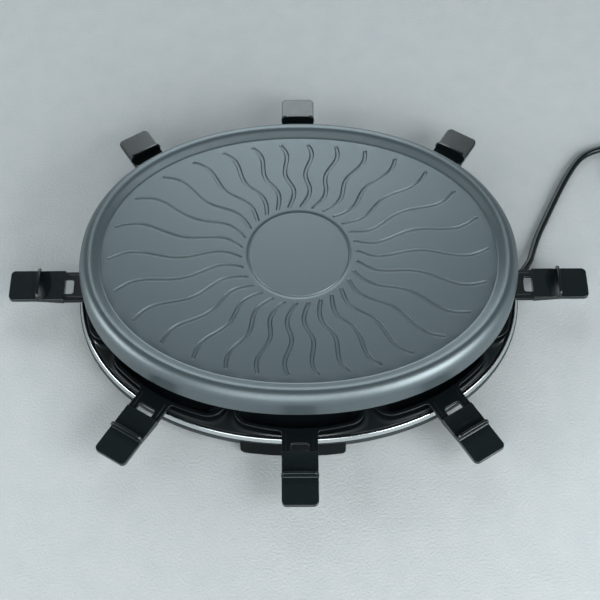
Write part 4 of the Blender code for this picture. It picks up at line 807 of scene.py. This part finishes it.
def sheet_outline():
    """Points, normals and edge depths round the dish's rim and along the stem."""
    half = STEM_WIDTH / 2
    reach = half + STEM_FILLET
    touch = asin(reach / (NOSE_RADIUS + STEM_FILLET))
    fillet_x = (NOSE_RADIUS + STEM_FILLET) * cos(touch) - NOSE_RADIUS
    side = []
    for turn in evenly(touch, pi / 2, BEND_STEPS):
        normal = Vector((cos(turn), sin(turn)))
        side.append((Vector((fillet_x, reach)) - normal * STEM_FILLET, normal))
    end = STEM_LENGTH + STEM_SEAT
    side += [(Vector((x, half)), Vector((0.0, 1.0)))
             for x in evenly(fillet_x, end, STEM_POINTS)[1:-1]]
    side.append((Vector((end, half)), Vector((1.0, 1.0))))
    mirrored = [(Vector((point.x, -point.y)), Vector((normal.x, -normal.y)))
                for point, normal in side]
    touch_y = side[0][0].y
    outline = []
    placed_stem = False
    for point, normal in RIM_OUTLINE:
        if point.x > -PAN_NOSE_DROP / 2 and abs(point.y) < touch_y:
            if not placed_stem:
                outline += mirrored + side[::-1]
                placed_stem = True
        else:
            outline.append((point, normal))
    drops = []
    for point, _ in outline:
        share = clamped((point.x - side[0][0].x) / (2 * STEM_FILLET))
        if abs(point.y) > touch_y:
            share = 0.0
        drops.append(between(LIP_DROP, STEM_DROP, share * share * (3 - 2 * share)))
    return outline, drops


def lip_rings():
    """Rings over the rounded edge of the sheet and down and back under its turned lip."""
    outline, drops = sheet_outline()
    rings = [inset_ring(outline, LIP_RADIUS * inset, PAN_RIM - LIP_RADIUS * drop)
             for inset, drop in quarter_arc(EDGE_STEPS)]
    for inset, rise in LIP_SECTION_SHARES:
        rings.append([
            (point.x - normal.x * PAN_SHEET * inset, point.y - normal.y * PAN_SHEET * inset,
             PAN_RIM - drop + rise * PAN_SHEET / 4)
            for (point, normal), drop in zip(outline, drops)])
    rings.append(inset_ring(outline, PAN_SHEET, PAN_RIM - PAN_SHEET))
    return rings


def stadium(y, radius, level):
    """Outline of a straight bead with round ends."""
    ring = []
    for centre, first in zip(BEAD_REACH[::-1], (-pi / 2, pi / 2)):
        for turn in evenly(first, first + pi, BEAD_STEPS):
            ring.append((centre + radius * cos(turn), y + radius * sin(turn), level))
    return ring


def thickened(section, thickness):
    """The other side of a sheet whose inner side is the given inset and drop."""
    found = []
    for index, (inset, drop) in enumerate(section):
        before = section[max(index - 1, 0)]
        after = section[min(index + 1, len(section) - 1)]
        run = Vector((after[0] - before[0], after[1] - before[1])).normalized()
        found.append((inset - run.y * thickness, drop + run.x * thickness))
    return found


def add_window(form):
    """The rounded opening in the stem, from its upper to its lower side."""
    end = STEM_LENGTH + STEM_SEAT / 2
    start = STEM_LENGTH - WINDOW_LENGTH
    half = WINDOW_WIDTH / 2
    outline = rounded_outline(((end, half), (start, half), (start, -half), (end, -half)),
                              (STEM_SEAT / 4, WINDOW_CORNER, WINDOW_CORNER, STEM_SEAT / 4),
                              WINDOW_STEPS)
    rings = [inset_ring(outline, -PAN_SHEET * inset, PAN_RIM - PAN_SHEET * drop)
             for inset, drop in quarter_arc(EDGE_STEPS)]
    rings.append(inset_ring(outline, 0.0, PAN_RIM - 2 * PAN_SHEET))
    rings.append(inset_ring(outline, -PAN_SHEET / 2, PAN_RIM - 2 * PAN_SHEET))
    rings.append(inset_ring(outline, -PAN_SHEET, PAN_RIM - PAN_SHEET))
    return add_rings(form, rings)


def add_bead(form, sign):
    """One stiffening bead; its foot is returned, for the sheet around it."""
    return add_cup(form, [
        stadium(sign * (STEM_WIDTH / 2 - BEAD_INSET),
                BEAD_HALF_WIDTH * (1 + BEAD_CROWN_SHARE - 2 * turn / pi),
                PAN_RIM + BEAD_RISE * sin(turn) ** 2)
        for turn in quarter_turns(EDGE_STEPS)])


def add_dish(form, section):
    """One side of the dish, down to its flat bottom; its rim is returned."""
    return add_cup(form, [inset_ring(RIM_OUTLINE, inset, PAN_RIM - drop)
                          for inset, drop in section])


def pan_mesh():
    """Pressed pan: dish, rounded rim, stem with turned edges, beads and window."""
    form = bmesh.new()
    edge = add_rings(form, lip_rings())
    inner = add_dish(form, DISH_SECTION)
    outer = add_dish(form, thickened(DISH_SECTION, PAN_SHEET))
    window = add_window(form)
    beads = [add_bead(form, sign) for sign in (-1, 1)]
    fill_between(form, [edge[0], inner, window[0]] + beads)
    fill_between(form, [edge[-1], outer, window[-1]])
    return mesh_of("pressed_pan", form, pan_coating)


def grip_section(x, half, top, bottom, scoop):
    """A closed section across the grip at one distance; the scoop lowers its top."""
    edge = min(GRIP_EDGE, half / 3)
    ring = []
    for index in range(CROSS_POINTS):
        y = (half - edge) * (1 - 2 * index / CROSS_POINTS)
        ring.append((x, y, top - scoop(x, y)))
    arc = quarter_arc(EDGE_STEPS)
    for sign in (-1, 1):
        upper = [(x, sign * (half - edge * inset), top - edge * drop - scoop(x, half))
                 for inset, drop in arc]
        lower = [(x, sign * (half - edge * inset), bottom + edge * rise) for rise, inset in arc]
        if sign < 0:
            ring += upper + lower
        else:
            ring += lower[::-1] + upper[:0:-1]
    return ring


def grip_stations(start, end, scoop_start, scoop_end):
    """Distances along the grip, closer in the scoop, and how much narrower it is at each."""
    root_edge = GRIP_EDGE / 2
    straight = end - GRIP_CORNER
    stations = [(start + root_edge * run, root_edge * narrow)
                for narrow, run in quarter_arc(SHORT_EDGE_STEPS)[:-1]]
    for low, high, count in ((start + root_edge, scoop_start, ROOT_STATIONS),
                             (scoop_start, scoop_end, SCOOP_STATIONS),
                             (scoop_end, straight, PLAIN_STATIONS)):
        stations += [(x, 0.0) for x in evenly(low, high, count)[:-1]]
    stations += [(end - GRIP_CORNER * run, GRIP_CORNER * narrow)
                 for run, narrow in quarter_arc(TIP_STEPS)]
    return stations


def stop_outline(x, inset):
    """Silhouette of the finger stop: straight sides, round shoulders and a slight crown."""
    wide = GRIP_WIDTH / 2 + STOP_OVERHANG - inset
    corner = STOP_CORNER - inset
    high = STOP_HEIGHT - inset - STOP_CROWN
    shoulder = wide - corner
    side = [(wide, inset - STOP_FOOT)]
    side += [(wide - corner * run, high - corner * drop) for drop, run in quarter_arc(BEND_STEPS)]
    side += [(y, high + STOP_CROWN * cos(pi / 2 * y / shoulder))
             for y in evenly(shoulder, 0.0, CROWN_STEPS)[1:-1]]
    outline = side + [(0.0, high + STOP_CROWN)] + [(-y, z) for y, z in reversed(side)]
    return [(x, y, GRIP_TOP + z) for y, z in outline]


def add_stop(form, inner, outer):
    """The finger stop with rounded edges, and the fillet along its outer foot."""
    edge = STOP_EDGE
    fillet = STOP_FILLET
    arc = quarter_arc(SHORT_EDGE_STEPS)
    add_solid(form, [stop_outline(inner + edge * run, edge * inset) for inset, run in arc]
              + [stop_outline(outer - edge * run, edge * inset) for run, inset in arc])
    section = [(outer + fillet * run, GRIP_TOP + fillet * rise) for run, rise in arc]
    section += [(outer - fillet, GRIP_TOP + fillet), (outer - fillet, GRIP_TOP - fillet),
                (outer + fillet, GRIP_TOP - fillet)]
    reach = GRIP_WIDTH / 2 - GRIP_EDGE
    add_solid(form, [[(x, y, z) for x, z in section] for y in (-reach, reach)])


def grip_mesh():
    """Moulded grip: tapered bar with a thumb scoop, and a thin finger stop across it."""
    start = STEM_LENGTH
    end = STEM_LENGTH + GRIP_LENGTH
    stop_outer = end - STOP_FROM_TIP
    stop_inner = stop_outer - STOP_THICKNESS

    def scoop(x, y):
        back = (stop_inner - x) / SCOOP_LENGTH
        if back < 0.0:
            return 0.0
        return SCOOP_DEPTH * max(0.0, 1 - back * back - (y / SCOOP_HALF_WIDTH) ** 2)

    form = bmesh.new()
    rings = []
    for x, narrow in grip_stations(start, end, stop_inner - SCOOP_LENGTH, stop_inner + CLEARANCE):
        share = min(1.0, (x - start) / (GRIP_LENGTH - STOP_FROM_TIP))
        thickness = between(GRIP_ROOT_THICKNESS, GRIP_TIP_THICKNESS, share)
        near_tip = max(0.0, 1 - (end - x) / GRIP_EDGE)
        near_root = max(0.0, 1 - 2 * (x - start) / GRIP_EDGE)
        rounding = (GRIP_EDGE * (1 - sqrt(1 - near_tip ** 2))
                    + GRIP_EDGE / 2 * (1 - sqrt(1 - near_root ** 2)))
        rings.append(grip_section(x, GRIP_WIDTH / 2 - narrow, GRIP_TOP - rounding,
                                  GRIP_TOP - thickness + rounding, scoop))
    add_solid(form, rings)
    add_stop(form, stop_inner, stop_outer)
    return mesh_of("moulded_grip", form, grip_plastic, GRIP_SHARP)


def pan_seat(name):
    """Matrix from a pan's own frame to the grill's, measured on its packed grip."""
    joint = next(entry for entry in frame["joints"] if entry["name"] == "pan_pull_" + name)
    along = Vector(joint["axis"]).to_2d().normalized()
    side = Vector((-along.y, along.x))
    points = [vertex.co.to_2d() for vertex in frame["nodes"]["grip_" + name].data.vertices]
    tip = max(point.dot(along) for point in points)
    across = [point.dot(side) for point in points]
    nose = (along * (tip - STEM_LENGTH - GRIP_LENGTH) + side * (max(across) + min(across)) / 2)
    bearing = atan2(along.y, along.x)
    return Matrix.Translation((nose.x, nose.y, 0.0)) @ Matrix.Rotation(bearing, 4, "Z")


PAN_NAMES = ("front", "front_right", "right", "back_right", "back", "back_left", "left",
             "front_left")


def make_pans():
    shapes = (("pan_", "pan_coating", pan_mesh()), ("grip_", "black_plastic", grip_mesh()))
    for name in PAN_NAMES:
        for kind, slot, shape in shapes:
            item = dress("fine_" + kind + name, shape, "pan_unit_" + name, kind + name)
            item.matrix_world = pan_seat(name)


make_pans()


# Base: trim band, tray with its wells, moulded shell
BASE_HALF_LENGTH = 0.2177
BASE_HALF_WIDTH = 0.1683
FOOT_HEIGHT = 0.0082
LIP_TOP = 0.0159
LIP_WALL = 0.0022
LEDGE_TOP = 0.0177
LEDGE_SHEET = 0.0016
LEDGE_LEAN = 0.0034
LEDGE_WIDTH = 0.0020
SHELL_FLOOR = 0.0098
OUTLET_LENGTH = 0.0210
OUTLET_WIDTH = 0.0100
OUTLET_CORNER = 0.0012
TRAY_TOP = 0.0192
TRAY_SHEET = 0.0012
TRAY_EDGE_INSET = 0.0058
TRIM_TOP = 0.0204
TRIM_SETBACK = 0.0008
TRIM_LEAN = 0.0025
TRIM_BEND = 0.0012
TRIM_FLANGE = 0.0004
TRIM_SHEET = 0.0009
TRIM_SHARP = 70.0
LIP_BEND_SHARE = 0.3  # of the lip's edge, at the middle of its bend
LAND_REACH = 0.0066  # how far the raised land spreads from a pan's rim
LAND_MARGIN = 0.0008
WELL_SECTION = (  # inset from the pan's rim and drop below the tray
    (-0.0066, 0.0), (-0.0058, -0.00005), (-0.0046, -0.0002), (-0.0034, -0.0005),
    (-0.0022, -0.0008), (-0.0012, -0.00095), (-0.0002, -0.0010), (0.0006, -0.0008),
    (0.0011, 0.0), (0.0016, 0.00004), (0.0024, 0.0003), (0.0036, 0.0008), (0.0066, 0.0017),
    (0.0096, 0.0026), (0.0122, 0.0032), (0.0138, 0.0035), (0.0150, 0.0036),
)


def base_rings(profile):
    return [oval(BASE_HALF_LENGTH - inset, BASE_HALF_WIDTH - inset, level)
            for inset, level in profile]


def make_trim():
    """Bright sheet band that leans inward, with a rounded upper edge."""
    bottom = LIP_TOP + CLEARANCE
    sheet = TRIM_SHEET
    lean = atan2(TRIM_LEAN, TRIM_TOP - bottom)
    middle = (TRIM_SETBACK + TRIM_LEAN + TRIM_BEND * (1 - sin(lean))
              - TRIM_BEND * tan(lean) / 2)
    bends = evenly(lean, pi / 2, BEND_STEPS)

    def bend(radius, turn):
        return middle - radius * cos(turn), TRIM_TOP - TRIM_BEND + radius * sin(turn)

    profile = [(TRIM_SETBACK + sheet / 4, bottom), (TRIM_SETBACK, bottom + sheet / 4)]
    profile += [bend(TRIM_BEND, turn) for turn in bends]
    profile += [(middle + TRIM_FLANGE, TRIM_TOP - sheet / 4),
                (middle + TRIM_FLANGE, TRIM_TOP - sheet)]
    profile += [bend(TRIM_BEND - sheet, turn) for turn in reversed(bends)]
    profile.append((TRIM_SETBACK + sheet, bottom))
    form = bmesh.new()
    add_rings(form, base_rings(profile), closed=True)
    dress_base("bright_trim", form, bright_steel, "trim_band", TRIM_SHARP)


def land_shares(outlines, edge):
    """How much of the full land there is room for at each point round each well."""
    found = []
    for name in PAN_NAMES:
        others = [point for other in PAN_NAMES if other != name for point in outlines[other]]
        shares = []
        for point in outlines[name]:
            room = min(min((point - place).length for place in edge) - LAND_MARGIN,
                       min((point - place).length for place in others) / 2 - LAND_MARGIN)
            shares.append(clamped(room / LAND_REACH))
        found.append(shares)
    return found


def add_well(form, seat, section, shares):
    """One side of a well and its land; the outline of the land is returned."""
    rings = []
    for inset, drop in section:
        ring = []
        for (point, normal), share in zip(RIM_OUTLINE, shares):
            place = point - normal * (inset if inset > 0.0 else inset * share)
            ring.append(seat @ Vector((place.x, place.y, TRAY_TOP - drop)))
        rings.append(ring)
    return add_cup(form, rings)


def make_tray():
    """Enamelled tray with a softly pressed well and a low rounded land under each pan."""
    form = bmesh.new()
    edge_radius = TRAY_SHEET / 3
    edge = add_rings(form, base_rings([
        (TRAY_EDGE_INSET + edge_radius, TRAY_TOP), (TRAY_EDGE_INSET, TRAY_TOP - edge_radius),
        (TRAY_EDGE_INSET, TRAY_TOP - TRAY_SHEET)]))
    seats = {name: pan_seat(name) for name in PAN_NAMES}
    outlines = {name: [(seat @ point.to_3d()).to_2d() for point, _ in RIM_OUTLINE]
                for name, seat in seats.items()}
    tray_edge = [Vector(point[:2]) for point in base_rings([(TRAY_EDGE_INSET, TRAY_TOP)])[0]]
    shares = dict(zip(PAN_NAMES, land_shares(outlines, tray_edge)))
    for rim, section in ((edge[0], WELL_SECTION),
                         (edge[-1], thickened(WELL_SECTION, TRAY_SHEET))):
        fill_between(form, [rim] + [add_well(form, seats[name], section, shares[name])
                                    for name in PAN_NAMES])
    dress_base("pressed_tray", form, tray_enamel, "pan_tray")


def outlet_ring(distance, inset):
    """A rounded section of the cord's outlet, square to the cord, a distance before its mouth."""
    along = Vector((cos(OUTLET_BEARING), sin(OUTLET_BEARING), 0.0))
    side = Vector((-along.y, along.x, 0.0))
    middle = Vector((*OUTLET_PLACE, (FOOT_HEIGHT + LIP_TOP) / 2)) - along * distance
    half = OUTLET_WIDTH / 2
    high = (LIP_TOP - FOOT_HEIGHT) / 2 - CLEARANCE
    corners = ((half, high), (-half, high), (-half, -high), (half, -high))
    outline = rounded_outline(corners, (OUTLET_CORNER,) * 4, (EDGE_STEPS,) * 4)
    return [middle + side * (point.x - normal.x * inset)
            + Vector((0.0, 0.0, point.y - normal.y * inset)) for point, normal in outline]


def make_shell():
    """Moulded lower shell with a rounded lip and the cord's outlet."""
    edge = LIP_WALL / 4
    bend = edge * LIP_BEND_SHARE
    ledge_inner = TRAY_EDGE_INSET + LEDGE_WIDTH
    profile = [
        (LEDGE_LEAN + edge, FOOT_HEIGHT), (LEDGE_LEAN - edge, FOOT_HEIGHT + edge / 4),
        (edge, FOOT_HEIGHT + LEDGE_LEAN / 2 - edge), (0.0, FOOT_HEIGHT + LEDGE_LEAN / 2 + edge),
        (0.0, LIP_TOP - edge), (bend, LIP_TOP - bend), (edge, LIP_TOP),
        (LIP_WALL, LIP_TOP), (TRAY_EDGE_INSET, LEDGE_TOP), (ledge_inner, LEDGE_TOP),
        (ledge_inner, LEDGE_TOP - LEDGE_SHEET), (TRAY_EDGE_INSET, LEDGE_TOP - LEDGE_SHEET),
        (LIP_WALL, LIP_TOP - LEDGE_SHEET), (LIP_WALL, SHELL_FLOOR)]
    form = bmesh.new()
    add_solid(form, base_rings(profile))
    mouth = [outlet_ring(edge * distance, edge * inset)
             for distance, inset in reversed(quarter_arc(SHORT_EDGE_STEPS))]
    add_solid(form, mouth + [outlet_ring(OUTLET_LENGTH, 0.0)])
    dress_base("moulded_shell", form, shell_plastic, "base_shell")


make_trim()
make_tray()
make_shell()


# Cord's boot and plug, turned about their own axes
BOOT_TIP_RADIUS = 0.0039
BOOT_RIBS = 5
BOOT_GROOVE = 0.0007
BOOT_COLLAR = 0.0040  # plain length next to the shell
PLUG_PROFILE = (  # distance from the neck's tip, and radius
    (0.0, 0.0036), (0.0002, 0.0046), (0.0008, 0.0050), (0.0170, 0.0062), (0.0195, 0.0066),
    (0.0215, 0.0080), (0.0240, 0.0104), (0.0265, 0.0128), (0.0290, 0.0147), (0.0320, 0.0166),
    (0.0350, 0.0179), (0.0380, 0.0184), (0.0490, 0.0184), (0.0510, 0.0181), (0.0526, 0.0174),
    (0.0536, 0.0166), (0.0540, 0.0156),
)
PLUG_NECK = (0.0012, 0.0165)
PLUG_RIBS = 6
PLUG_RIB_GROOVE = 0.0008
PLUG_FLUTES = 24
PLUG_FLUTE_SPAN = (0.0300, 0.0485)
PLUG_FLUTE_DEPTH = 0.0006
PLUG_FLUTE_STEEPNESS = 3
PLUG_STEPS = 108
BOOT_STEPS = 60
TURN_STEPS = 96


def turned_form(start, aim, rings):
    """Closed round form along an axis; each ring has a distance and a radius for every turn."""
    across = aim.cross(Vector((0.0, 0.0, 1.0))).normalized()
    upward = across.cross(aim)
    form = bmesh.new()
    add_solid(form, [
        [start + aim * distance + (across * cos(turn) + upward * sin(turn)) * radius(turn)
         for turn in evenly(0.0, tau, TURN_STEPS)[:-1]]
        for distance, radius in rings])
    return form


def rib_dip(distance, span, ribs, depth):
    """How deep the grooves between ribs are at a distance."""
    share = (distance - span[0]) / (span[1] - span[0])
    if share <= 0.0 or share >= 1.0:
        return 0.0
    return depth * max(0.0, sin(pi * (share * ribs % 1.0))) ** 0.5


def make_boot():
    """Ribbed boot that keeps the cord from kinking at the shell."""
    rings = []
    for step in range(BOOT_STEPS + 1):
        share = step / BOOT_STEPS
        distance = BOOT_LENGTH * share
        near_end = max(0.0, 1 - (BOOT_LENGTH - distance) / BOOT_GROOVE)
        reach = (between(BOOT_ROOT_RADIUS, BOOT_TIP_RADIUS, share)
                 - rib_dip(distance, (BOOT_COLLAR, BOOT_LENGTH), BOOT_RIBS, BOOT_GROOVE)
                 - BOOT_GROOVE / 2 * near_end)
        rings.append((distance, lambda turn, reach=reach: reach))
    dress_base("ribbed_boot", turned_form(boot_start, boot_aim, rings),
               cord_rubber, "strain_relief", ROUND_SHARP)


def plug_radius(distance):
    """Radius of the plug at a distance, in straight runs between its profile's points."""
    for (low, small), (high, large) in zip(PLUG_PROFILE, PLUG_PROFILE[1:]):
        if distance <= high:
            return between(small, large, (distance - low) / (high - low))
    return PLUG_PROFILE[-1][1]


def make_plug():
    """Round plug with a ribbed neck and shallow flutes for the fingers."""
    length = PLUG_PROFILE[-1][0]
    distances = {length * step / PLUG_STEPS for step in range(1, PLUG_STEPS)}
    distances |= {place for place, _ in PLUG_PROFILE}
    rings = []
    for distance in sorted(distances):
        reach = plug_radius(distance) - rib_dip(distance, PLUG_NECK, PLUG_RIBS, PLUG_RIB_GROOVE)
        share = (distance - PLUG_FLUTE_SPAN[0]) / (PLUG_FLUTE_SPAN[1] - PLUG_FLUTE_SPAN[0])
        depth = 0.0
        if 0.0 < share < 1.0:
            depth = PLUG_FLUTE_DEPTH * min(1.0, PLUG_FLUTE_STEEPNESS * sin(pi * share))

        def radius(turn, reach=reach, depth=depth):
            return reach - depth * sin(PLUG_FLUTES / 2 * turn) ** 2

        rings.append((distance, radius))
    form = turned_form(plug_neck + plug_aim * CLEARANCE, plug_aim, rings)
    dress_base("fluted_plug", form, cord_rubber, "plug_body", ROUND_SHARP)


make_boot()
make_plug()


# Heating element and softened copies of the small solids
ELEMENT_HALF_LENGTH = 0.1527
ELEMENT_HALF_WIDTH = 0.1033
ELEMENT_LEVEL = 0.0500
ELEMENT_RADIUS = 0.0034
ELEMENT_HALF_GAP = 0.0100
ELEMENT_END = 0.0250
ELEMENT_BEND = 0.0090
ELEMENT_STEPS = 160
ELEMENT_BEND_STEPS = 10
ELEMENT_DETAIL = 6
HOUSING_EDGE = 0.0004
SMALL_EDGE = 0.0003
FOOT_EDGE = 0.0008
FOOT_CORNER = 0.0036
FOOT_CORNER_STEPS = 6
SOFT_STEPS = 3
SOFT_SHARP = 40.0
FLAT_TURN = radians(1.0)
EDGE_TURN = radians(50.0)


def quarter_bend(centre, start, end):
    centre, start, end = Vector(centre), Vector(start), Vector(end)
    return [centre + start * cos(turn) + end * sin(turn)
            for turn in quarter_turns(ELEMENT_BEND_STEPS)]


def make_element():
    """Sheathed heater: an open oval loop whose two cold ends turn down into the housing."""
    level = ELEMENT_LEVEL
    gap = ELEMENT_HALF_GAP
    bend = ELEMENT_BEND
    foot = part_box("heating_element")[0][2]
    across_share = (gap + bend) / ELEMENT_HALF_WIDTH
    corner = ELEMENT_HALF_LENGTH * (1 - across_share ** OVAL_POWER) ** (1 / OVAL_POWER) - bend
    lead = [Vector((ELEMENT_END, gap, foot))]
    lead += quarter_bend((ELEMENT_END + bend, gap, level - bend), (-bend, 0.0, 0.0),
                         (0.0, 0.0, bend))
    lead += quarter_bend((corner, gap + bend, level), (0.0, -bend, 0.0), (bend, 0.0, 0.0))
    first = asin(across_share ** (OVAL_POWER / 2))
    loop = [(*oval_point(ELEMENT_HALF_LENGTH, ELEMENT_HALF_WIDTH, turn), level)
            for turn in evenly(first, tau - first, ELEMENT_STEPS)[1:-1]]
    mirrored = [(point.x, -point.y, point.z) for point in reversed(lead)]
    item = tube("sheathed_element", lead + loop + mirrored, ELEMENT_RADIUS, ELEMENT_DETAIL)
    item.data.materials.append(element_steel)
    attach(item, "base")
    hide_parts("heating_element")


def round_foot(form):
    """Round the two lower corners at the ends of a foot."""
    lows = [min(vertex.co[axis] for vertex in form.verts) for axis in range(3)]
    highs = [max(vertex.co[axis] for vertex in form.verts) for axis in range(3)]
    axis = 0 if highs[0] - lows[0] > highs[1] - lows[1] else 1
    corners = [edge for edge in form.edges if any(
        all(abs(vertex.co[axis] - end) < CLEARANCE and vertex.co.z - lows[2] < CLEARANCE
            for vertex in edge.verts) for end in (lows[axis], highs[axis]))]
    bmesh.ops.bevel(form, geom=corners, offset=FOOT_CORNER, offset_type="OFFSET",
                    segments=FOOT_CORNER_STEPS, profile=0.5, affect="EDGES", clamp_overlap=False)


def soften(name, width, paint):
    """A copy of a solid of the base with rounded edges, in its place."""
    form = bmesh.new()
    form.from_mesh(frame["nodes"][name].data)
    bmesh.ops.remove_doubles(form, verts=form.verts, dist=WELD_DISTANCE)
    bmesh.ops.dissolve_limit(form, angle_limit=FLAT_TURN, verts=form.verts, edges=form.edges)
    if name in FEET:
        round_foot(form)
    edges = [edge for edge in form.edges
             if edge.is_manifold and edge.calc_face_angle() > EDGE_TURN]
    bmesh.ops.bevel(form, geom=edges, offset=width, offset_type="OFFSET", segments=SOFT_STEPS,
                    profile=0.5, affect="EDGES", clamp_overlap=True)
    dress_base("soft_" + name, form, paint, name, SOFT_SHARP)


make_element()


# Floor and light
def make_floor():
    mesh = bpy.data.meshes.new("floor")
    mesh.from_pydata([(x * FLOOR_REACH, y * FLOOR_REACH, 0.0)
                      for x, y in ((-1, -1), (1, -1), (1, 1), (-1, 1))], [], [(0, 1, 2, 3)])
    floor = placed("floor", mesh)
    floor.data.materials.append(floor_paint)


def area_light(name, place, aim, size, power, colour):
    light = bpy.data.lights.new(name, "AREA")
    light.shape = "RECTANGLE"
    light.size, light.size_y = size
    light.energy = power
    light.color = colour
    item = placed(name, light)
    item.location = place
    item.rotation_euler = (Vector(aim) - Vector(place)).to_track_quat("-Z", "Y").to_euler()


def make_world():
    """Plain studio surroundings: a light horizon, darker overhead, by direction alone."""
    world = bpy.data.worlds.new("studio")
    world.use_nodes = True
    tree = world.node_tree
    place = add_node(tree, "TexCoord").outputs["Generated"]
    split = add_node(tree, "SeparateXYZ", {"Vector": place})
    span = add_node(tree, "MapRange", {"Value": split.outputs["Z"], "From Min": -1.0})
    ramp = add_node(tree, "ValToRGB", {"Fac": span.outputs["Result"]})
    stops = ramp.color_ramp.elements
    stops.remove(stops[-1])
    for rise, shade in WORLD_SHADES:
        position = (1 + sin(radians(rise))) / 2
        stop = stops.new(position) if position > 0.0 else stops[0]
        stop.color = backdrop_colour(shade)
    feed(tree, tree.nodes["Background"], {"Color": ramp.outputs["Color"]})
    bpy.context.scene.world = world


make_floor()
make_world()
for row in LIGHTS:
    area_light(*row)


# The smaller solids: rounded copies where an edge shows, better materials on the rest
FEET = ("foot_front", "foot_back", "foot_left", "foot_right")
SOFTENED = (  # start of the names, edge, slot and material
    (FEET, FOOT_EDGE, "black_plastic", foot_plastic),
    ("foot_pad", SMALL_EDGE, "rubber", foot_rubber),
    ("terminal_housing", HOUSING_EDGE, "zinc_steel", dull_steel),
    ("terminal_block", SMALL_EDGE, "ceramic", ceramic),
    (("thermal_cutout", "element_clip", "plate_post"), SMALL_EDGE, "zinc_steel", dull_steel),
    ("coil_tie", SMALL_EDGE, "rubber", foot_rubber),
    ("plug_pin", SMALL_EDGE, "pin_metal", pin_metal),
)
finish_of = {
    "wire_live": wire_finish("live_brown", (0.16, 0.06, 0.02)),
    "wire_neutral": wire_finish("neutral_blue", (0.02, 0.08, 0.35)),
    "wire_earth": wire_finish("earth_green", (0.10, 0.35, 0.05))}
for name, node in frame["nodes"].items():
    for start, width, slot, paint in SOFTENED:
        if name.startswith(start):
            soften(name, width, paint)
    for holder in node.material_slots:
        if name in finish_of:
            holder.material = finish_of[name]
        elif name.startswith(("foot_screw", "housing_screw")):
            holder.material = dull_steel

bpy.context.scene.view_settings.view_transform = "Standard"
